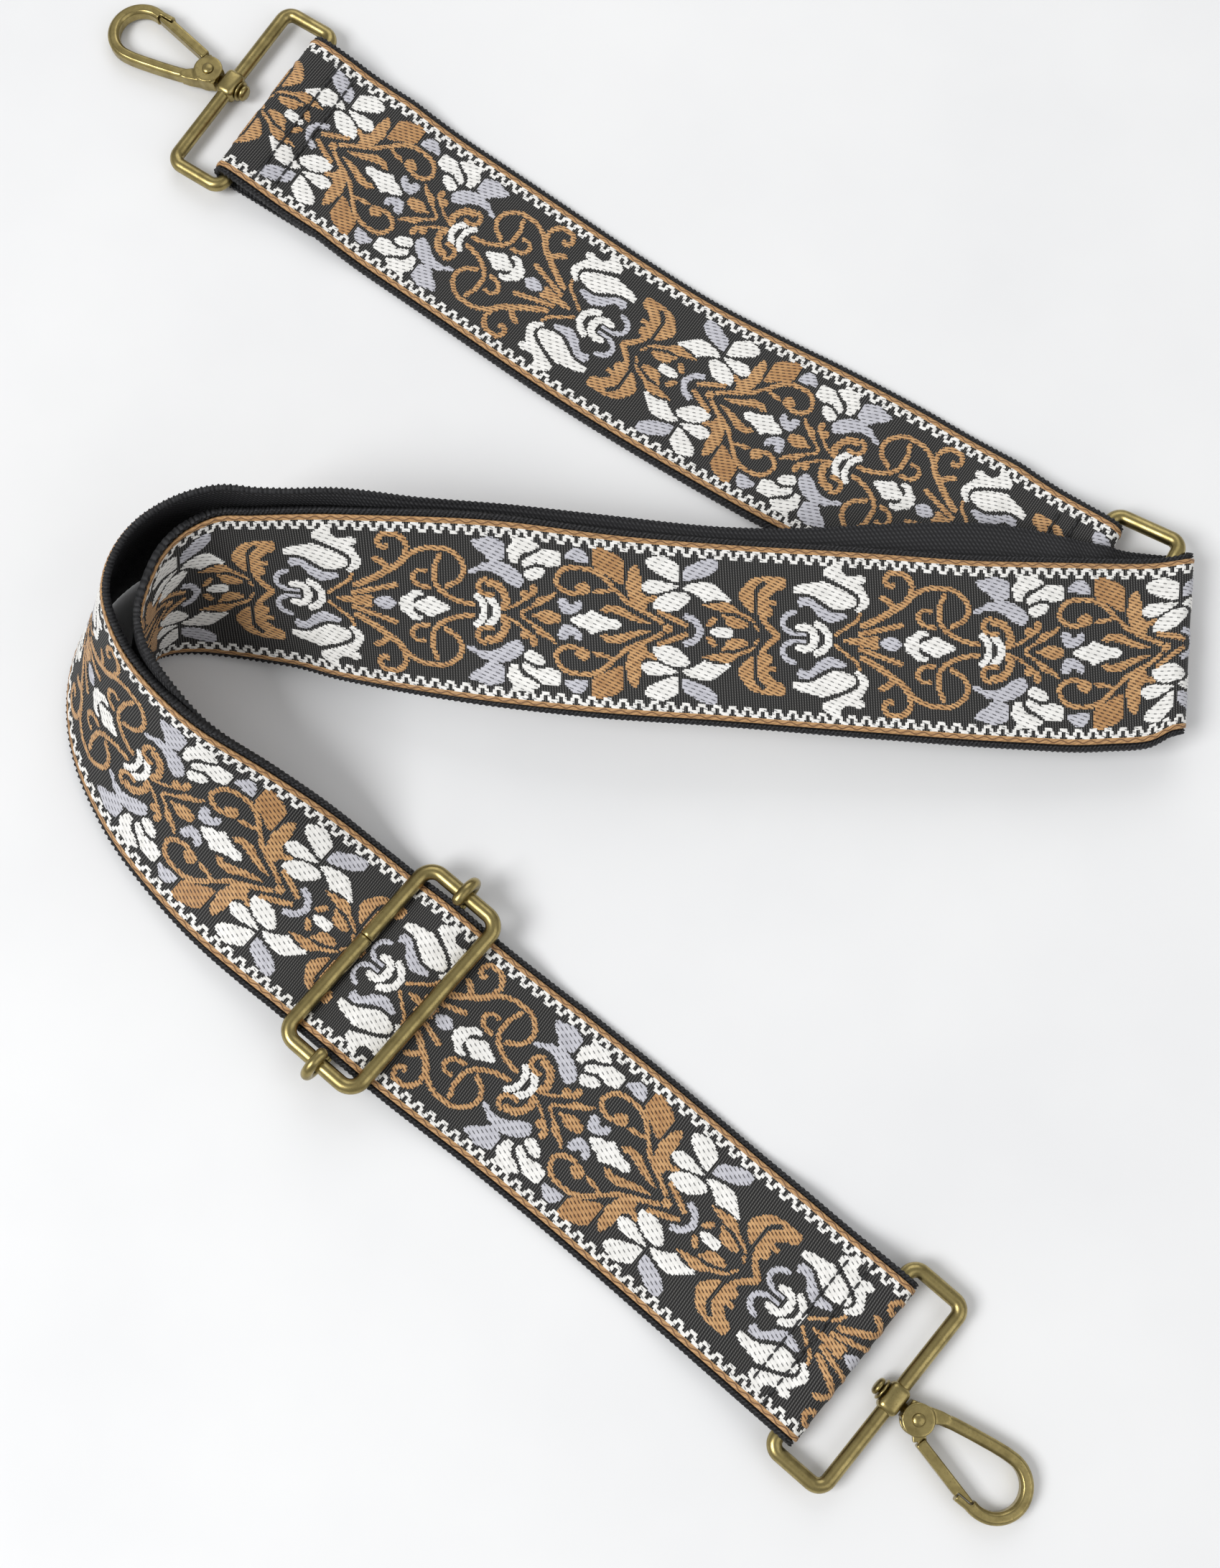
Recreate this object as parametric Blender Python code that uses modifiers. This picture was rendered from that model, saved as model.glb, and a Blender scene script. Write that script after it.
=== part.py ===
"""Detachable bag strap: a 50 mm woven strap with patterned trim, two swivel hooks, a ring and a slider.

The strap lies folded on a table. X runs along the lower length, toward its hook, Y across it, Z is up.
Each length of webbing is a ruled surface through stations, wrapped round the bars that hold it.
"""
import math

import bmesh
import bpy
from mathutils import Matrix, Vector

# Webbing
WEBBING_WIDTH = 0.050
BACKING_THICKNESS = 0.0012
TRIM_WIDTH = 0.0465
TRIM_THICKNESS = 0.0007
PLY_GAP = 0.0003
SEAT_GAP = 0.0003
LAY_SPAN = 0.100
LAY_SHIFT_X = 0.0297
LAY_SHIFT_Y = -0.0199
STATION_STEP = 0.0060
BAR_TURN_STEPS = 8
ACROSS_CELLS = 4
TRIM_END_INSET = 0.0015

# Rectangular ring between the two lengths
RING_WIRE_RADIUS = 0.0020
RING_BAR_SPACING = 0.0195
RING_LENGTH = 0.0575
RING_CORNER_RADIUS = 0.0031
RING_RISE = 0.0036
RING_FOLD_EASE = 0.0001

# Slider
SLIDER_WIRE_RADIUS = 0.0020
SLIDER_BAR_SPACING = 0.0235
SLIDER_LENGTH = 0.0556
SLIDER_CORNER_RADIUS = 0.0040
CENTER_BAR_RADIUS = 0.0015
CENTER_BAR_STRAIGHT = 0.0510
CURL_CLEARANCE = 0.0004

# Loop that each hook swivels on
LOOP_WIRE_RADIUS = 0.00195
LOOP_BAR_SPACING = 0.0160
LOOP_LENGTH = 0.0560
LOOP_CORNER_RADIUS = 0.0030
BOSS_LENGTH = 0.0080
BOSS_WIDTH = 0.0056
BOSS_HEIGHT = 0.0055
BOSS_BEVEL = 0.0009
HOOK_DIP_DEGREES = 2.3

# Hook
HOOK_RIVET_X = 0.0075
CHEEK_RADIUS = 0.0041
CHEEK_HEIGHT = 0.0050
BOW_CENTER_X = 0.0314
BOW_CENTER_Y = 0.0003
BOW_RADIUS = 0.0077
HOOK_SECTION_WIDTH = 0.0032
HOOK_SECTION_HEIGHT = 0.0040
HOOK_SECTION_BEVEL = 0.0007
NOSE_X = 0.0257
NOSE_Y = 0.0073
NOSE_STEP_X = 0.0297
NOSE_STEP_Y = 0.0071
NOSE_STEP_DEPTH = 0.0040

# Gate, its rivet and its spring
GATE_WIDTH = 0.0028
GATE_HEIGHT = 0.0034
GATE_TONGUE_RADIUS = 0.0027
GATE_TONGUE_HEIGHT = 0.0022
GATE_ROOT_X = 0.0112
GATE_ROOT_Y = 0.0037
GATE_TIP_X = 0.0292
GATE_TIP_Y = 0.0074
GATE_OUTER_TIP_X = 0.0254
GATE_SLOT_HEIGHT = 0.0028
GATE_BEVEL = 0.0004
MOVING_CLEARANCE = 0.0003
RIVET_RADIUS = 0.0010
RIVET_HEAD_RADIUS = 0.0017
RIVET_HEAD_HEIGHT = 0.0004
SPRING_WIRE_RADIUS = 0.00016
SPRING_RADIUS = 0.00175
SPRING_POCKET_RADIUS = 0.00225
SPRING_POCKET_DEPTH = 0.0011
SPRING_PITCH = 0.0004
SPRING_TURNS_SHARE = 1.2

# Swivel pin and washer
PIN_RADIUS = 0.0012
PIN_HEAD_RADIUS = 0.0023
PIN_HEAD_LENGTH = 0.0015
WASHER_RADIUS = 0.0024
WASHER_THICKNESS = 0.0006
PIN_ROOT_DEPTH = 0.0010

# Sewing thread, with its two lines' distances along the webbing from the sewn end
THREAD_RADIUS = 0.0003
THREAD_SEAT_GAP = 0.00035
SEAM_NEAR = 0.0470
SEAM_FAR = 0.0525
SEAM_LONG_SHARE = 0.90
SEAM_SHORT_SHARE = 0.78
SEAM_WAVE_SHARE = 0.5
SEAM_CELLS = 26

# Where the metal parts sit, as shares of the lay span, and the way each points, in degrees
HOOK_2_BAR_SHARES = (1.364, -0.728)
HOOK_1_BAR_SHARES = (-1.962, 0.860)
SLIDER_BAR_SHARES = (-0.0775, -0.755)
RING_BARS_MIDDLE_SHARES = (0.694, 1.170)
SHORT_ON_RING_SHARE = 0.008
FOLD_START_SHARES = (0.870, 1.256)
FOLD_END_SHARES = (0.896, 1.218)
HOOK_2_HEADING = 0.0
HOOK_1_HEADING = 187.4
RING_HEADING = 9.5
FOLD_HEADING = 34.0
FOLD_ACROSS = 124.0

# Stations of the webbing: x and y as shares of the lay span, height as a share of the webbing width,
# heading and climb of the line across the webbing in degrees, and the shares of the two half widths.
HOOK_2_TAIL_STATION_SHARES = (
    (1.084, -0.728, 0.017, 90, 0, 1, 1),
    (1.180, -0.728, 0.017, 90, 0, 1, 1),
    (1.280, -0.728, 0.0182, 90, 0, 1, 1),
)
HOOK_2_TO_SLIDER_STATION_SHARES = (
    (1.280, -0.728, 0.132, 90, 0, 1, 1),
    (1.200, -0.728, 0.090, 90, 0, 1, 1),
    (1.120, -0.728, 0.079, 90, 0, 1, 1),
    (1.060, -0.728, 0.078, 90, 0, 1, 1),
    (1.000, -0.728, 0.060, 90, 0, 1, 1),
    (0.920, -0.728, 0.034, 90, 0, 1, 1),
    (0.860, -0.728, 0.0272, 90, 0, 1, 1),
    (0.790, -0.728, 0.0272, 90, 0, 1, 1),
    (0.600, -0.729, 0.0272, 90, 0, 1, 1),
    (0.400, -0.7345, 0.0272, 90, 0, 1, 1),
    (0.340, -0.7365, 0.0285, 90, 0, 1, 1),
    (0.285, -0.740, 0.035, 90, 0, 1, 1),
    (0.220, -0.744, 0.052, 90, 0, 1, 1),
    (0.120, -0.750, 0.098, 90, 0, 1, 1),
    (0.040, -0.753, 0.127, 90, 0, 1, 1),
    (-0.020, -0.754, 0.168, 90, 0, 1, 1),
    (-0.077, -0.755, 0.195, 90, 0, 1, 1),
    (-0.135, -0.756, 0.168, 90, 0, 1, 1),
    (-0.195, -0.758, 0.1272, 90, 0, 1, 1),
    (-0.230, -0.760, 0.1278, 90, 0, 1, 1),
    (-0.270, -0.761, 0.1305, 90, 0, 1, 1),
    (-0.330, -0.764, 0.148, 90, 2, 1, 1),
)
OUTER_BEND_STATION_SHARES = (
    (-0.400, -0.768, 0.178, 89, 7, 1, 1),
    (-0.631, -0.780, 0.312, 81.8, 28, 1.02, 1.02),
    (-0.865, -0.776, 0.418, 69.7, 46, 1.05, 1.04),
    (-1.055, -0.724, 0.466, 57, 56.6, 1.05, 1.05),
    (-1.173, -0.648, 0.488, 41, 64, 1.05, 1.04),
    (-1.248, -0.555, 0.500, 27, 71, 1.03, 1.02),
    (-1.280, -0.450, 0.510, 15, 76, 1, 1),
    (-1.272, -0.340, 0.514, 2, 80.5, 1, 1),
    (-1.220, -0.225, 0.516, -15, 85, 1, 1),
    (-1.132, -0.148, 0.516, 130, 88, 1, 1),
)
BACK_LAYER_STATION_SHARES = (
    (-1.058, -0.099, 0.512, 130, 87, 1, 1),
    (-0.987, -0.044, 0.502, 130, 86, 1, 1),
    (-0.878, -0.018, 0.496, 130, 72, 1, 1),
    (-0.772, 0.001, 0.500, 130, 58, 1, 1),
    (-0.684, 0.030, 0.492, 130, 48, 1, 1),
    (-0.605, 0.070, 0.484, 130, 40, 1, 1),
    (-0.456, 0.168, 0.456, 130, 29, 1, 1),
    (-0.261, 0.303, 0.418, 130, 20, 1, 1),
    (-0.033, 0.470, 0.372, 130, 14, 1, 1),
    (0.120, 0.608, 0.332, 130, 11, 1, 1),
    (0.245, 0.735, 0.304, 129.5, 9, 1, 1),
    (0.375, 0.865, 0.276, 129, 7, 1, 1),
    (0.470, 0.953, 0.254, 128, 5, 0.99, 0.97),
    (0.545, 1.015, 0.238, 127, 3.5, 0.96, 0.93),
    (0.585, 1.047, 0.228, 126.5, 3.5, 0.93, 0.88),
    (0.625, 1.078, 0.214, 126, 4.5, 0.9, 0.84),
    (0.661, 1.104, 0.182, 125.5, 5.5, 0.89, 0.81),
    (0.707, 1.136, 0.138, 125, 8.5, 0.89, 0.78),
    (0.755, 1.169, 0.100, 124.5, 4.5, 0.89, 0.78),
    (0.812, 1.210, 0.086, 124, 1, 0.9, 0.8),
)
FRONT_LAYER_STATION_SHARES = (
    (0.860, 1.162, 0.240, 126, 0.5, 1.03, 1.03),
    (0.774, 1.078, 0.258, 127, 1.5, 1.04, 1.04),
    (0.716, 1.024, 0.276, 128, 3, 1.04, 1.04),
    (0.615, 0.935, 0.316, 128.5, 5, 1.02, 1.02),
    (0.502, 0.839, 0.352, 129, 7, 1, 1),
    (0.355, 0.724, 0.388, 129.5, 9, 0.99, 0.99),
    (0.208, 0.609, 0.424, 130, 11, 0.98, 0.98),
    (-0.010, 0.437, 0.480, 130.3, 13.5, 0.96, 0.96),
    (-0.229, 0.268, 0.536, 130.5, 18, 0.96, 0.97),
    (-0.435, 0.124, 0.572, 130.5, 27, 0.98, 1),
    (-0.575, 0.023, 0.582, 127.5, 36, 1, 1),
    (-0.733, -0.084, 0.564, 129, 44, 1, 1),
    (-0.816, -0.136, 0.542, 130, 48, 1, 1),
    (-0.906, -0.189, 0.508, 131, 54, 1, 1),
    (-0.979, -0.238, 0.488, 127, 57.5, 1, 1),
)
INNER_BEND_STATION_SHARES = (
    (-1.051, -0.289, 0.474, 122, 60, 1, 1),
    (-1.092, -0.336, 0.480, 116, 64.5, 1, 1),
    (-1.120, -0.386, 0.490, 107, 68.5, 1, 1),
    (-1.128, -0.438, 0.502, 96, 74, 1, 1),
    (-1.106, -0.514, 0.512, 42, 81.5, 1, 1),
    (-1.078, -0.596, 0.494, 44.5, 71.9, 1, 1),
    (-1.004, -0.659, 0.468, 58, 64.5, 0.98, 1),
    (-0.867, -0.741, 0.382, 69.7, 46, 0.95, 0.97),
    (-0.638, -0.761, 0.250, 81.8, 27.5, 0.97, 0.99),
    (-0.500, -0.767, 0.138, 87, 13, 1, 1),
    (-0.420, -0.765, 0.064, 89, 5, 1, 1),
    (-0.360, -0.761, 0.023, 90, 0.5, 1, 1),
    (-0.300, -0.758, 0.0176, 90, 0, 1, 1),
    (-0.200, -0.756, 0.017, 90, 0, 1, 1),
    (-0.130, -0.755, 0.017, 90, 0, 1, 1),
)
SLIDER_TAIL_STATION_SHARES = (
    (-0.120, -0.756, 0.118, 90, 0, 1, 1),
    (-0.160, -0.756, 0.084, 90, 0, 1, 1),
    (-0.210, -0.757, 0.0772, 90, 0, 1, 1),
    (-0.260, -0.758, 0.0772, 90, 0, 1, 1),
    (-0.310, -0.760, 0.079, 90, 0, 1, 1),
)
RING_TAIL_STATION_SHARES = (
    (0.322, 1.127, 0.017, 98.5, 0, 1, 1),
    (0.420, 1.138, 0.017, 99, 0, 1, 1),
    (0.515, 1.151, 0.0182, 99.4, 0, 1, 1),
)
SHORT_RUN_STATION_SHARES = (
    (0.515, 1.153, 0.134, 99.2, 0, 1.01, 1),
    (0.436, 1.146, 0.090, 98.5, 0, 1.03, 1.01),
    (0.360, 1.139, 0.079, 98.3, 0, 1.04, 1.02),
    (0.310, 1.136, 0.078, 98.2, 0, 1.04, 1.03),
    (0.250, 1.130, 0.060, 98.2, 0, 1.04, 1.03),
    (0.170, 1.122, 0.034, 98, 0, 1.04, 1.04),
    (0.100, 1.113, 0.0274, 98, 0, 1.04, 1.04),
    (0.030, 1.103, 0.0272, 98.3, 0, 1.04, 1.04),
    (-0.080, 1.084, 0.027, 99, 0, 1.04, 1.04),
    (-0.244, 1.052, 0.027, 99, 0, 1.04, 1.04),
    (-0.416, 1.019, 0.027, 98.5, 0, 1.02, 1.02),
    (-0.623, 0.984, 0.027, 98, 0, 1, 1),
    (-0.868, 0.956, 0.027, 96.5, 0, 1, 1),
    (-1.240, 0.928, 0.027, 95.5, 0, 1, 1),
    (-1.390, 0.9165, 0.0272, 96, 0, 1, 1),
    (-1.460, 0.911, 0.0276, 96, 0, 1, 1),
    (-1.520, 0.906, 0.034, 96, 0, 1, 1),
    (-1.600, 0.899, 0.060, 97, 0, 1, 1),
    (-1.660, 0.895, 0.078, 97, 0, 1, 1),
    (-1.720, 0.889, 0.079, 97.2, 0, 1, 1),
    (-1.799, 0.881, 0.090, 97.4, 0, 1, 1),
    (-1.879, 0.871, 0.132, 97.4, 0, 1, 1),
)
HOOK_1_TAIL_STATION_SHARES = (
    (-1.878, 0.871, 0.0182, 97.4, 0, 1, 1),
    (-1.783, 0.883, 0.017, 97.4, 0, 1, 1),
    (-1.684, 0.896, 0.017, 97.4, 0, 1, 1),
)

# Shares and counts that shape the small parts
HALF_SHARE = 0.5
RIGHT_ANGLE = 90
FOLD_FIRST_SHARES = (0.89, 0.86)
SPINE_SHARES = (
    (0.02, 0.18), (0.07, 0.31), (0.13, 0.45), (0.30, 0.63), (0.52, 0.79), (0.75, 0.94), (0.88, 1.01),
)
BOW_START = 92
BOW_END = -104
BOW_STEPS = 26
CHEEK_OPEN_SHARE = 0.2
LINK_SHARE = 0.6
HEAD_SINK_SHARE = 0.5
BAR_RISE_SHARES = ((0, 0), (0.25, 0.10), (0.58, 0.34))
CURL_ANGLES = (-68, -45, -20, 5, 30, 55, 80, 105, 124)
CORNER_STEPS = 6
WIRE_RESOLUTION = 2
ROUND_SIDES = 28
SPRING_STEPS = 16
MARKER_SIZE = 0.005
MERGE_DISTANCE = 0.000005


def clear_scene():
    """Starts from an empty file."""
    for item in list(bpy.data.objects):
        bpy.data.objects.remove(item, do_unlink=True)


def new_collection(name, cutters=False):
    collection = bpy.data.collections.new(name)
    bpy.context.scene.collection.children.link(collection)
    collection.hide_render = cutters
    return collection


def metal(name, colour, roughness):
    return surface(name, colour, roughness, 1)


def cloth(name, colour, roughness):
    return surface(name, colour, roughness, 0)


def surface(name, colour, roughness, metallic):
    """One Principled material."""
    material = bpy.data.materials.new(name)
    material.use_nodes = True
    shader = material.node_tree.nodes["Principled BSDF"]
    shader.inputs["Base Color"].default_value = (*colour, 1)
    shader.inputs["Roughness"].default_value = roughness
    shader.inputs["Metallic"].default_value = metallic
    material.diffuse_color = (*colour, 1)
    return material


def finish_mesh(mesh, smooth):
    """Welds loose caps, turns all faces outward and sets the shading."""
    work = bmesh.new()
    work.from_mesh(mesh)
    bmesh.ops.remove_doubles(work, verts=work.verts, dist=MERGE_DISTANCE)
    bmesh.ops.recalc_face_normals(work, faces=work.faces)
    work.to_mesh(mesh)
    work.free()
    for face in mesh.polygons:
        face.use_smooth = smooth
    return mesh


def place(name, mesh, material, collection, parent=None, matrix=None):
    """Puts a mesh in the scene, in its parent's frame."""
    item = bpy.data.objects.new(name, mesh)
    collection.objects.link(item)
    item.parent = parent
    if matrix is not None:
        item.matrix_local = matrix
    if material is not None:
        mesh.materials.clear()
        mesh.materials.append(material)
    return item


def evaluated_mesh(item, smooth):
    """The object's shape after its modifiers, as one plain mesh."""
    bpy.context.view_layer.update()
    graph = bpy.context.evaluated_depsgraph_get()
    mesh = bpy.data.meshes.new_from_object(item.evaluated_get(graph))
    return finish_mesh(mesh, smooth)


def swept(points, radius=0, profile=None, closed=False, smooth=True):
    """A round wire through the points, or one with the profile curve as its section."""
    curve = bpy.data.curves.new("path", "CURVE")
    curve.dimensions = "3D"
    curve.twist_mode = "Z_UP"
    curve.use_fill_caps = not closed
    spline = curve.splines.new("POLY")
    spline.points.add(len(points) - 1)
    for point, spot in zip(spline.points, points):
        point.co = (*spot, 1)
    spline.use_cyclic_u = closed
    if profile is None:
        curve.bevel_depth = radius
        curve.bevel_resolution = WIRE_RESOLUTION
    else:
        curve.bevel_mode = "OBJECT"
        curve.bevel_object = profile
    item = bpy.data.objects.new("path", curve)
    bpy.context.scene.collection.objects.link(item)
    mesh = evaluated_mesh(item, smooth)
    bpy.data.objects.remove(item, do_unlink=True)
    return mesh


def section_profile(collection, width, height, bevel):
    """A rectangle with cut corners, as the section of a cast arm."""
    curve = bpy.data.curves.new("section", "CURVE")
    curve.dimensions = "2D"
    spline = curve.splines.new("POLY")
    half_w = width / 2
    half_h = height / 2
    corners = (
        (half_w, half_h - bevel), (half_w - bevel, half_h),
        (bevel - half_w, half_h), (-half_w, half_h - bevel),
        (-half_w, bevel - half_h), (bevel - half_w, -half_h),
        (half_w - bevel, -half_h), (half_w, bevel - half_h),
    )
    spline.points.add(len(corners) - 1)
    for point, spot in zip(spline.points, corners):
        point.co = (*spot, 0, 1)
    spline.use_cyclic_u = True
    item = bpy.data.objects.new("section", curve)
    collection.objects.link(item)
    return item


def upright(radius, low, high):
    """A closed cylinder on the gate's axis, between two heights."""
    return cylinder(radius, (HOOK_RIVET_X, 0, low), (HOOK_RIVET_X, 0, high), ROUND_SIDES)


def cylinder(radius, start, end, sides):
    """A closed cylinder between two points."""
    mesh = bpy.data.meshes.new("cylinder")
    work = bmesh.new()
    run = Vector(end) - Vector(start)
    bmesh.ops.create_cone(
        work, cap_ends=True, segments=sides, radius1=radius, radius2=radius, depth=run.length,
    )
    turn = Vector((0, 0, 1)).rotation_difference(run.normalized()).to_matrix().to_4x4()
    middle = Matrix.Translation((Vector(start) + Vector(end)) / 2)
    bmesh.ops.transform(work, matrix=middle @ turn, verts=work.verts)
    work.to_mesh(mesh)
    work.free()
    return mesh


def box(low, high, turn=0, pivot=(0, 0, 0)):
    """A box between two corners, turned about the pivot's upright axis."""
    mesh = bpy.data.meshes.new("box")
    work = bmesh.new()
    bmesh.ops.create_cube(work, size=1)
    size = Vector(high) - Vector(low)
    middle = (Vector(high) + Vector(low)) / 2
    local = Matrix.Translation(middle) @ Matrix.Diagonal((*size, 1))
    spin = Matrix.Translation(pivot) @ Matrix.Rotation(turn, 4, "Z") @ Matrix.Translation(-Vector(pivot))
    bmesh.ops.transform(work, matrix=spin @ local, verts=work.verts)
    work.to_mesh(mesh)
    work.free()
    return mesh


def bevelled(mesh, width, segments):
    """The mesh with its edges rounded."""
    item = bpy.data.objects.new("bevelled", mesh)
    bpy.context.scene.collection.objects.link(item)
    modifier = item.modifiers.new("bevel", "BEVEL")
    modifier.width = width
    modifier.segments = segments
    modifier.limit_method = "ANGLE"
    result = evaluated_mesh(item, False)
    bpy.data.objects.remove(item, do_unlink=True)
    return result


def combined(mesh, joins, cuts, cutters, smooth):
    """The mesh with others joined to it and cut from it."""
    item = bpy.data.objects.new("combined", mesh)
    bpy.context.scene.collection.objects.link(item)
    for operation, group in (("UNION", joins), ("DIFFERENCE", cuts)):
        for other in group:
            tool = bpy.data.objects.new("cutter", other)
            tool.display_type = "WIRE"
            tool.hide_render = True
            cutters.objects.link(tool)
            modifier = item.modifiers.new("combine", "BOOLEAN")
            modifier.operation = operation
            modifier.solver = "EXACT"
            modifier.object = tool
    result = evaluated_mesh(item, smooth)
    bpy.data.objects.remove(item, do_unlink=True)
    return result


def rounded_rectangle(half_x, half_y, corner):
    """Points round a rectangle with arcs at its corners."""
    points = []
    for quarter, (sign_x, sign_y) in enumerate(((1, 1), (-1, 1), (-1, -1), (1, -1))):
        for step in range(CORNER_STEPS + 1):
            angle = math.pi / 2 * (quarter + step / CORNER_STEPS)
            x = sign_x * (half_x - corner) + corner * math.cos(angle)
            y = sign_y * (half_y - corner) + corner * math.sin(angle)
            points.append((x, y, 0))
    return points


def wrap_radius(bar_radius):
    """From a bar's middle to the neutral face of webbing that hugs it with its back."""
    return bar_radius + SEAT_GAP + BACKING_THICKNESS + PLY_GAP / 2


BACK_DEPTH = BACKING_THICKNESS + PLY_GAP / 2
FACE_DEPTH = TRIM_THICKNESS + PLY_GAP / 2


def lay_point(shares, height):
    """A point of the lay, from shares of its span."""
    return Vector((shares[0] * LAY_SPAN + LAY_SHIFT_X, shares[1] * LAY_SPAN + LAY_SHIFT_Y, height))


def across_vector(heading, climb):
    heading = math.radians(heading)
    climb = math.radians(climb)
    return Vector((math.cos(climb) * math.cos(heading), math.cos(climb) * math.sin(heading), math.sin(climb)))


def table_stations(table):
    """Stations from one of the tables: middle, line across, and the two half widths."""
    stations = []
    for x, y, height, heading, climb, upper, lower in table:
        middle = lay_point((x, y), height * WEBBING_WIDTH)
        stations.append((middle, across_vector(heading, climb), upper, lower))
    return stations


def turn_stations(start, end, radius, heading, across, first_shares):
    """Half a turn round a bar, from below it to above; the middle may drift from start to end."""
    stations = []
    outward = across_vector(heading, 0)
    for step in range(BAR_TURN_STEPS + 1):
        part = step / BAR_TURN_STEPS
        angle = math.pi * (part - HALF_SHARE)
        middle = start.lerp(end, part) + outward * (radius * math.cos(angle))
        middle.z += radius * math.sin(angle)
        widths = [share + (1 - share) * min(1, part / HALF_SHARE) for share in first_shares]
        stations.append((middle, across_vector(across, 0), *widths))
    return stations


def smooth_stations(stations):
    """Centripetal spline through the stations, cut into even steps."""
    rows = [[*middle, *across, upper, lower] for middle, across, upper, lower in stations]
    count = len(rows)
    result = []
    for index in range(count - 1):
        here = rows[index]
        after = rows[index + 1]
        before = rows[index - 1] if index else [2 * a - b for a, b in zip(here, after)]
        beyond = rows[index + 2] if index + 2 < count else [2 * a - b for a, b in zip(after, here)]
        quad = [before, here, after, beyond]
        knots = [0]
        for one, two in zip(quad, quad[1:]):
            gap = math.dist(one[:3], two[:3])
            knots.append(knots[-1] + math.sqrt(gap))
        cells = max(1, math.ceil(math.dist(here[:3], after[:3]) / STATION_STEP))
        for cell in range(cells):
            at = knots[1] + (knots[2] - knots[1]) * cell / cells
            result.append(spline_point(quad, knots, at))
    result.append(rows[-1])
    return result


def spline_point(quad, knots, at):
    """One point of the spline by repeated blending."""
    level = quad
    for degree in (1, 2):
        blended = []
        for index in range(len(level) - 1):
            low = knots[index]
            high = knots[index + degree]
            blended.append(mix_rows(level[index], level[index + 1], (at - low) / (high - low)))
        level = blended
    return mix_rows(level[0], level[1], (at - knots[1]) / (knots[2] - knots[1]))


def mix_rows(one, two, part):
    return [a + (b - a) * part for a, b in zip(one, two)]


def ribbon_frames(stations):
    """Middle, line across, face normal and half widths along a length of webbing."""
    rows = smooth_stations(stations)
    frames = []
    for index, row in enumerate(rows):
        before = Vector(rows[max(index - 1, 0)][:3])
        after = Vector(rows[min(index + 1, len(rows) - 1)][:3])
        along = (after - before).normalized()
        across = Vector(row[3:6]).normalized()
        normal = across.cross(along).normalized()
        frames.append((Vector(row[:3]), along, across, normal, row[6], row[7]))
    return frames


def ribbon_mesh(frames, width, offset, thickness, inset, smooth):
    """A sheet at an offset from the neutral face, made solid."""
    neutral = []
    for index, (middle, along, across, normal, upper, lower) in enumerate(frames):
        shift = inset if index == 0 else -inset if index == len(frames) - 1 else 0
        row = []
        for cell in range(ACROSS_CELLS + 1):
            side = 2 * cell / ACROSS_CELLS - 1
            reach = width / 2 * side * (upper if side > 0 else lower)
            row.append(middle + along * shift + across * reach)
        neutral.append(row)
    rows = []
    for index, row in enumerate(neutral):
        before = neutral[max(index - 1, 0)]
        after = neutral[min(index + 1, len(neutral) - 1)]
        across = frames[index][2]
        rows.append([
            spot + across.cross(two - one).normalized() * offset
            for spot, one, two in zip(row, before, after)
        ])
    points = [spot for row in rows for spot in row]
    span = ACROSS_CELLS + 1
    faces = []
    for index in range(len(rows) - 1):
        for cell in range(ACROSS_CELLS):
            first = index * span + cell
            faces.append((first, first + 1, first + span + 1, first + span))
    mesh = bpy.data.meshes.new("sheet")
    mesh.from_pydata(points, [], faces)
    item = bpy.data.objects.new("sheet", mesh)
    bpy.context.scene.collection.objects.link(item)
    modifier = item.modifiers.new("thickness", "SOLIDIFY")
    modifier.thickness = thickness
    modifier.offset = 0
    modifier.use_even_offset = True
    result = evaluated_mesh(item, smooth)
    bpy.data.objects.remove(item, do_unlink=True)
    return result


def frame_at(frames, distance):
    """Middle, line across and normal at a distance from the first frame."""
    travelled = 0
    for one, two in zip(frames, frames[1:]):
        run = (two[0] - one[0]).length
        if travelled + run >= distance:
            part = (distance - travelled) / run
            return [one[index].lerp(two[index], part) for index in (0, 2, 3)]
        travelled += run
    return [frames[-1][index] for index in (0, 2, 3)]


def seam_mesh(frames):
    """Sewing thread: one line across the webbing, a short run along it and a second line back."""
    lift = FACE_DEPTH + THREAD_SEAT_GAP + THREAD_RADIUS
    points = []
    lines = ((SEAM_NEAR, (1, -1), SEAM_LONG_SHARE), (SEAM_FAR, (-1, 1), SEAM_SHORT_SHARE))
    for distance, sides, reach in lines:
        middle, across, normal = frame_at(frames, distance)
        half = TRIM_WIDTH / 2 * reach
        for cell in range(SEAM_CELLS + 1):
            side = sides[0] + (sides[1] - sides[0]) * cell / SEAM_CELLS
            rise = THREAD_RADIUS * SEAM_WAVE_SHARE * (cell % 2)
            points.append(middle + across * (half * side) + normal * (lift + rise))
    return swept(points, THREAD_RADIUS)


def short_stations():
    """The short length: the turn round the ring's first bar, the run and the hook end."""
    radius = wrap_radius(LOOP_WIRE_RADIUS)
    hook_bar = lay_point(HOOK_1_BAR_SHARES, FACE_DEPTH + radius)
    ring_radius = wrap_radius(RING_WIRE_RADIUS)
    along_bar = across_vector(RING_HEADING + RIGHT_ANGLE, 0)
    ring_bar = ring_bar_middle(1) + along_bar * (SHORT_ON_RING_SHARE * LAY_SPAN)
    hook_across = HOOK_1_HEADING - RIGHT_ANGLE
    return (
        table_stations(RING_TAIL_STATION_SHARES)
        + turn_stations(ring_bar, ring_bar, ring_radius, RING_HEADING, RING_HEADING + RIGHT_ANGLE, (1, 1))
        + table_stations(SHORT_RUN_STATION_SHARES)
        + turn_stations(hook_bar, hook_bar, radius, HOOK_1_HEADING, hook_across, (1, 1))[::-1]
        + table_stations(HOOK_1_TAIL_STATION_SHARES)
    )


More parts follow.
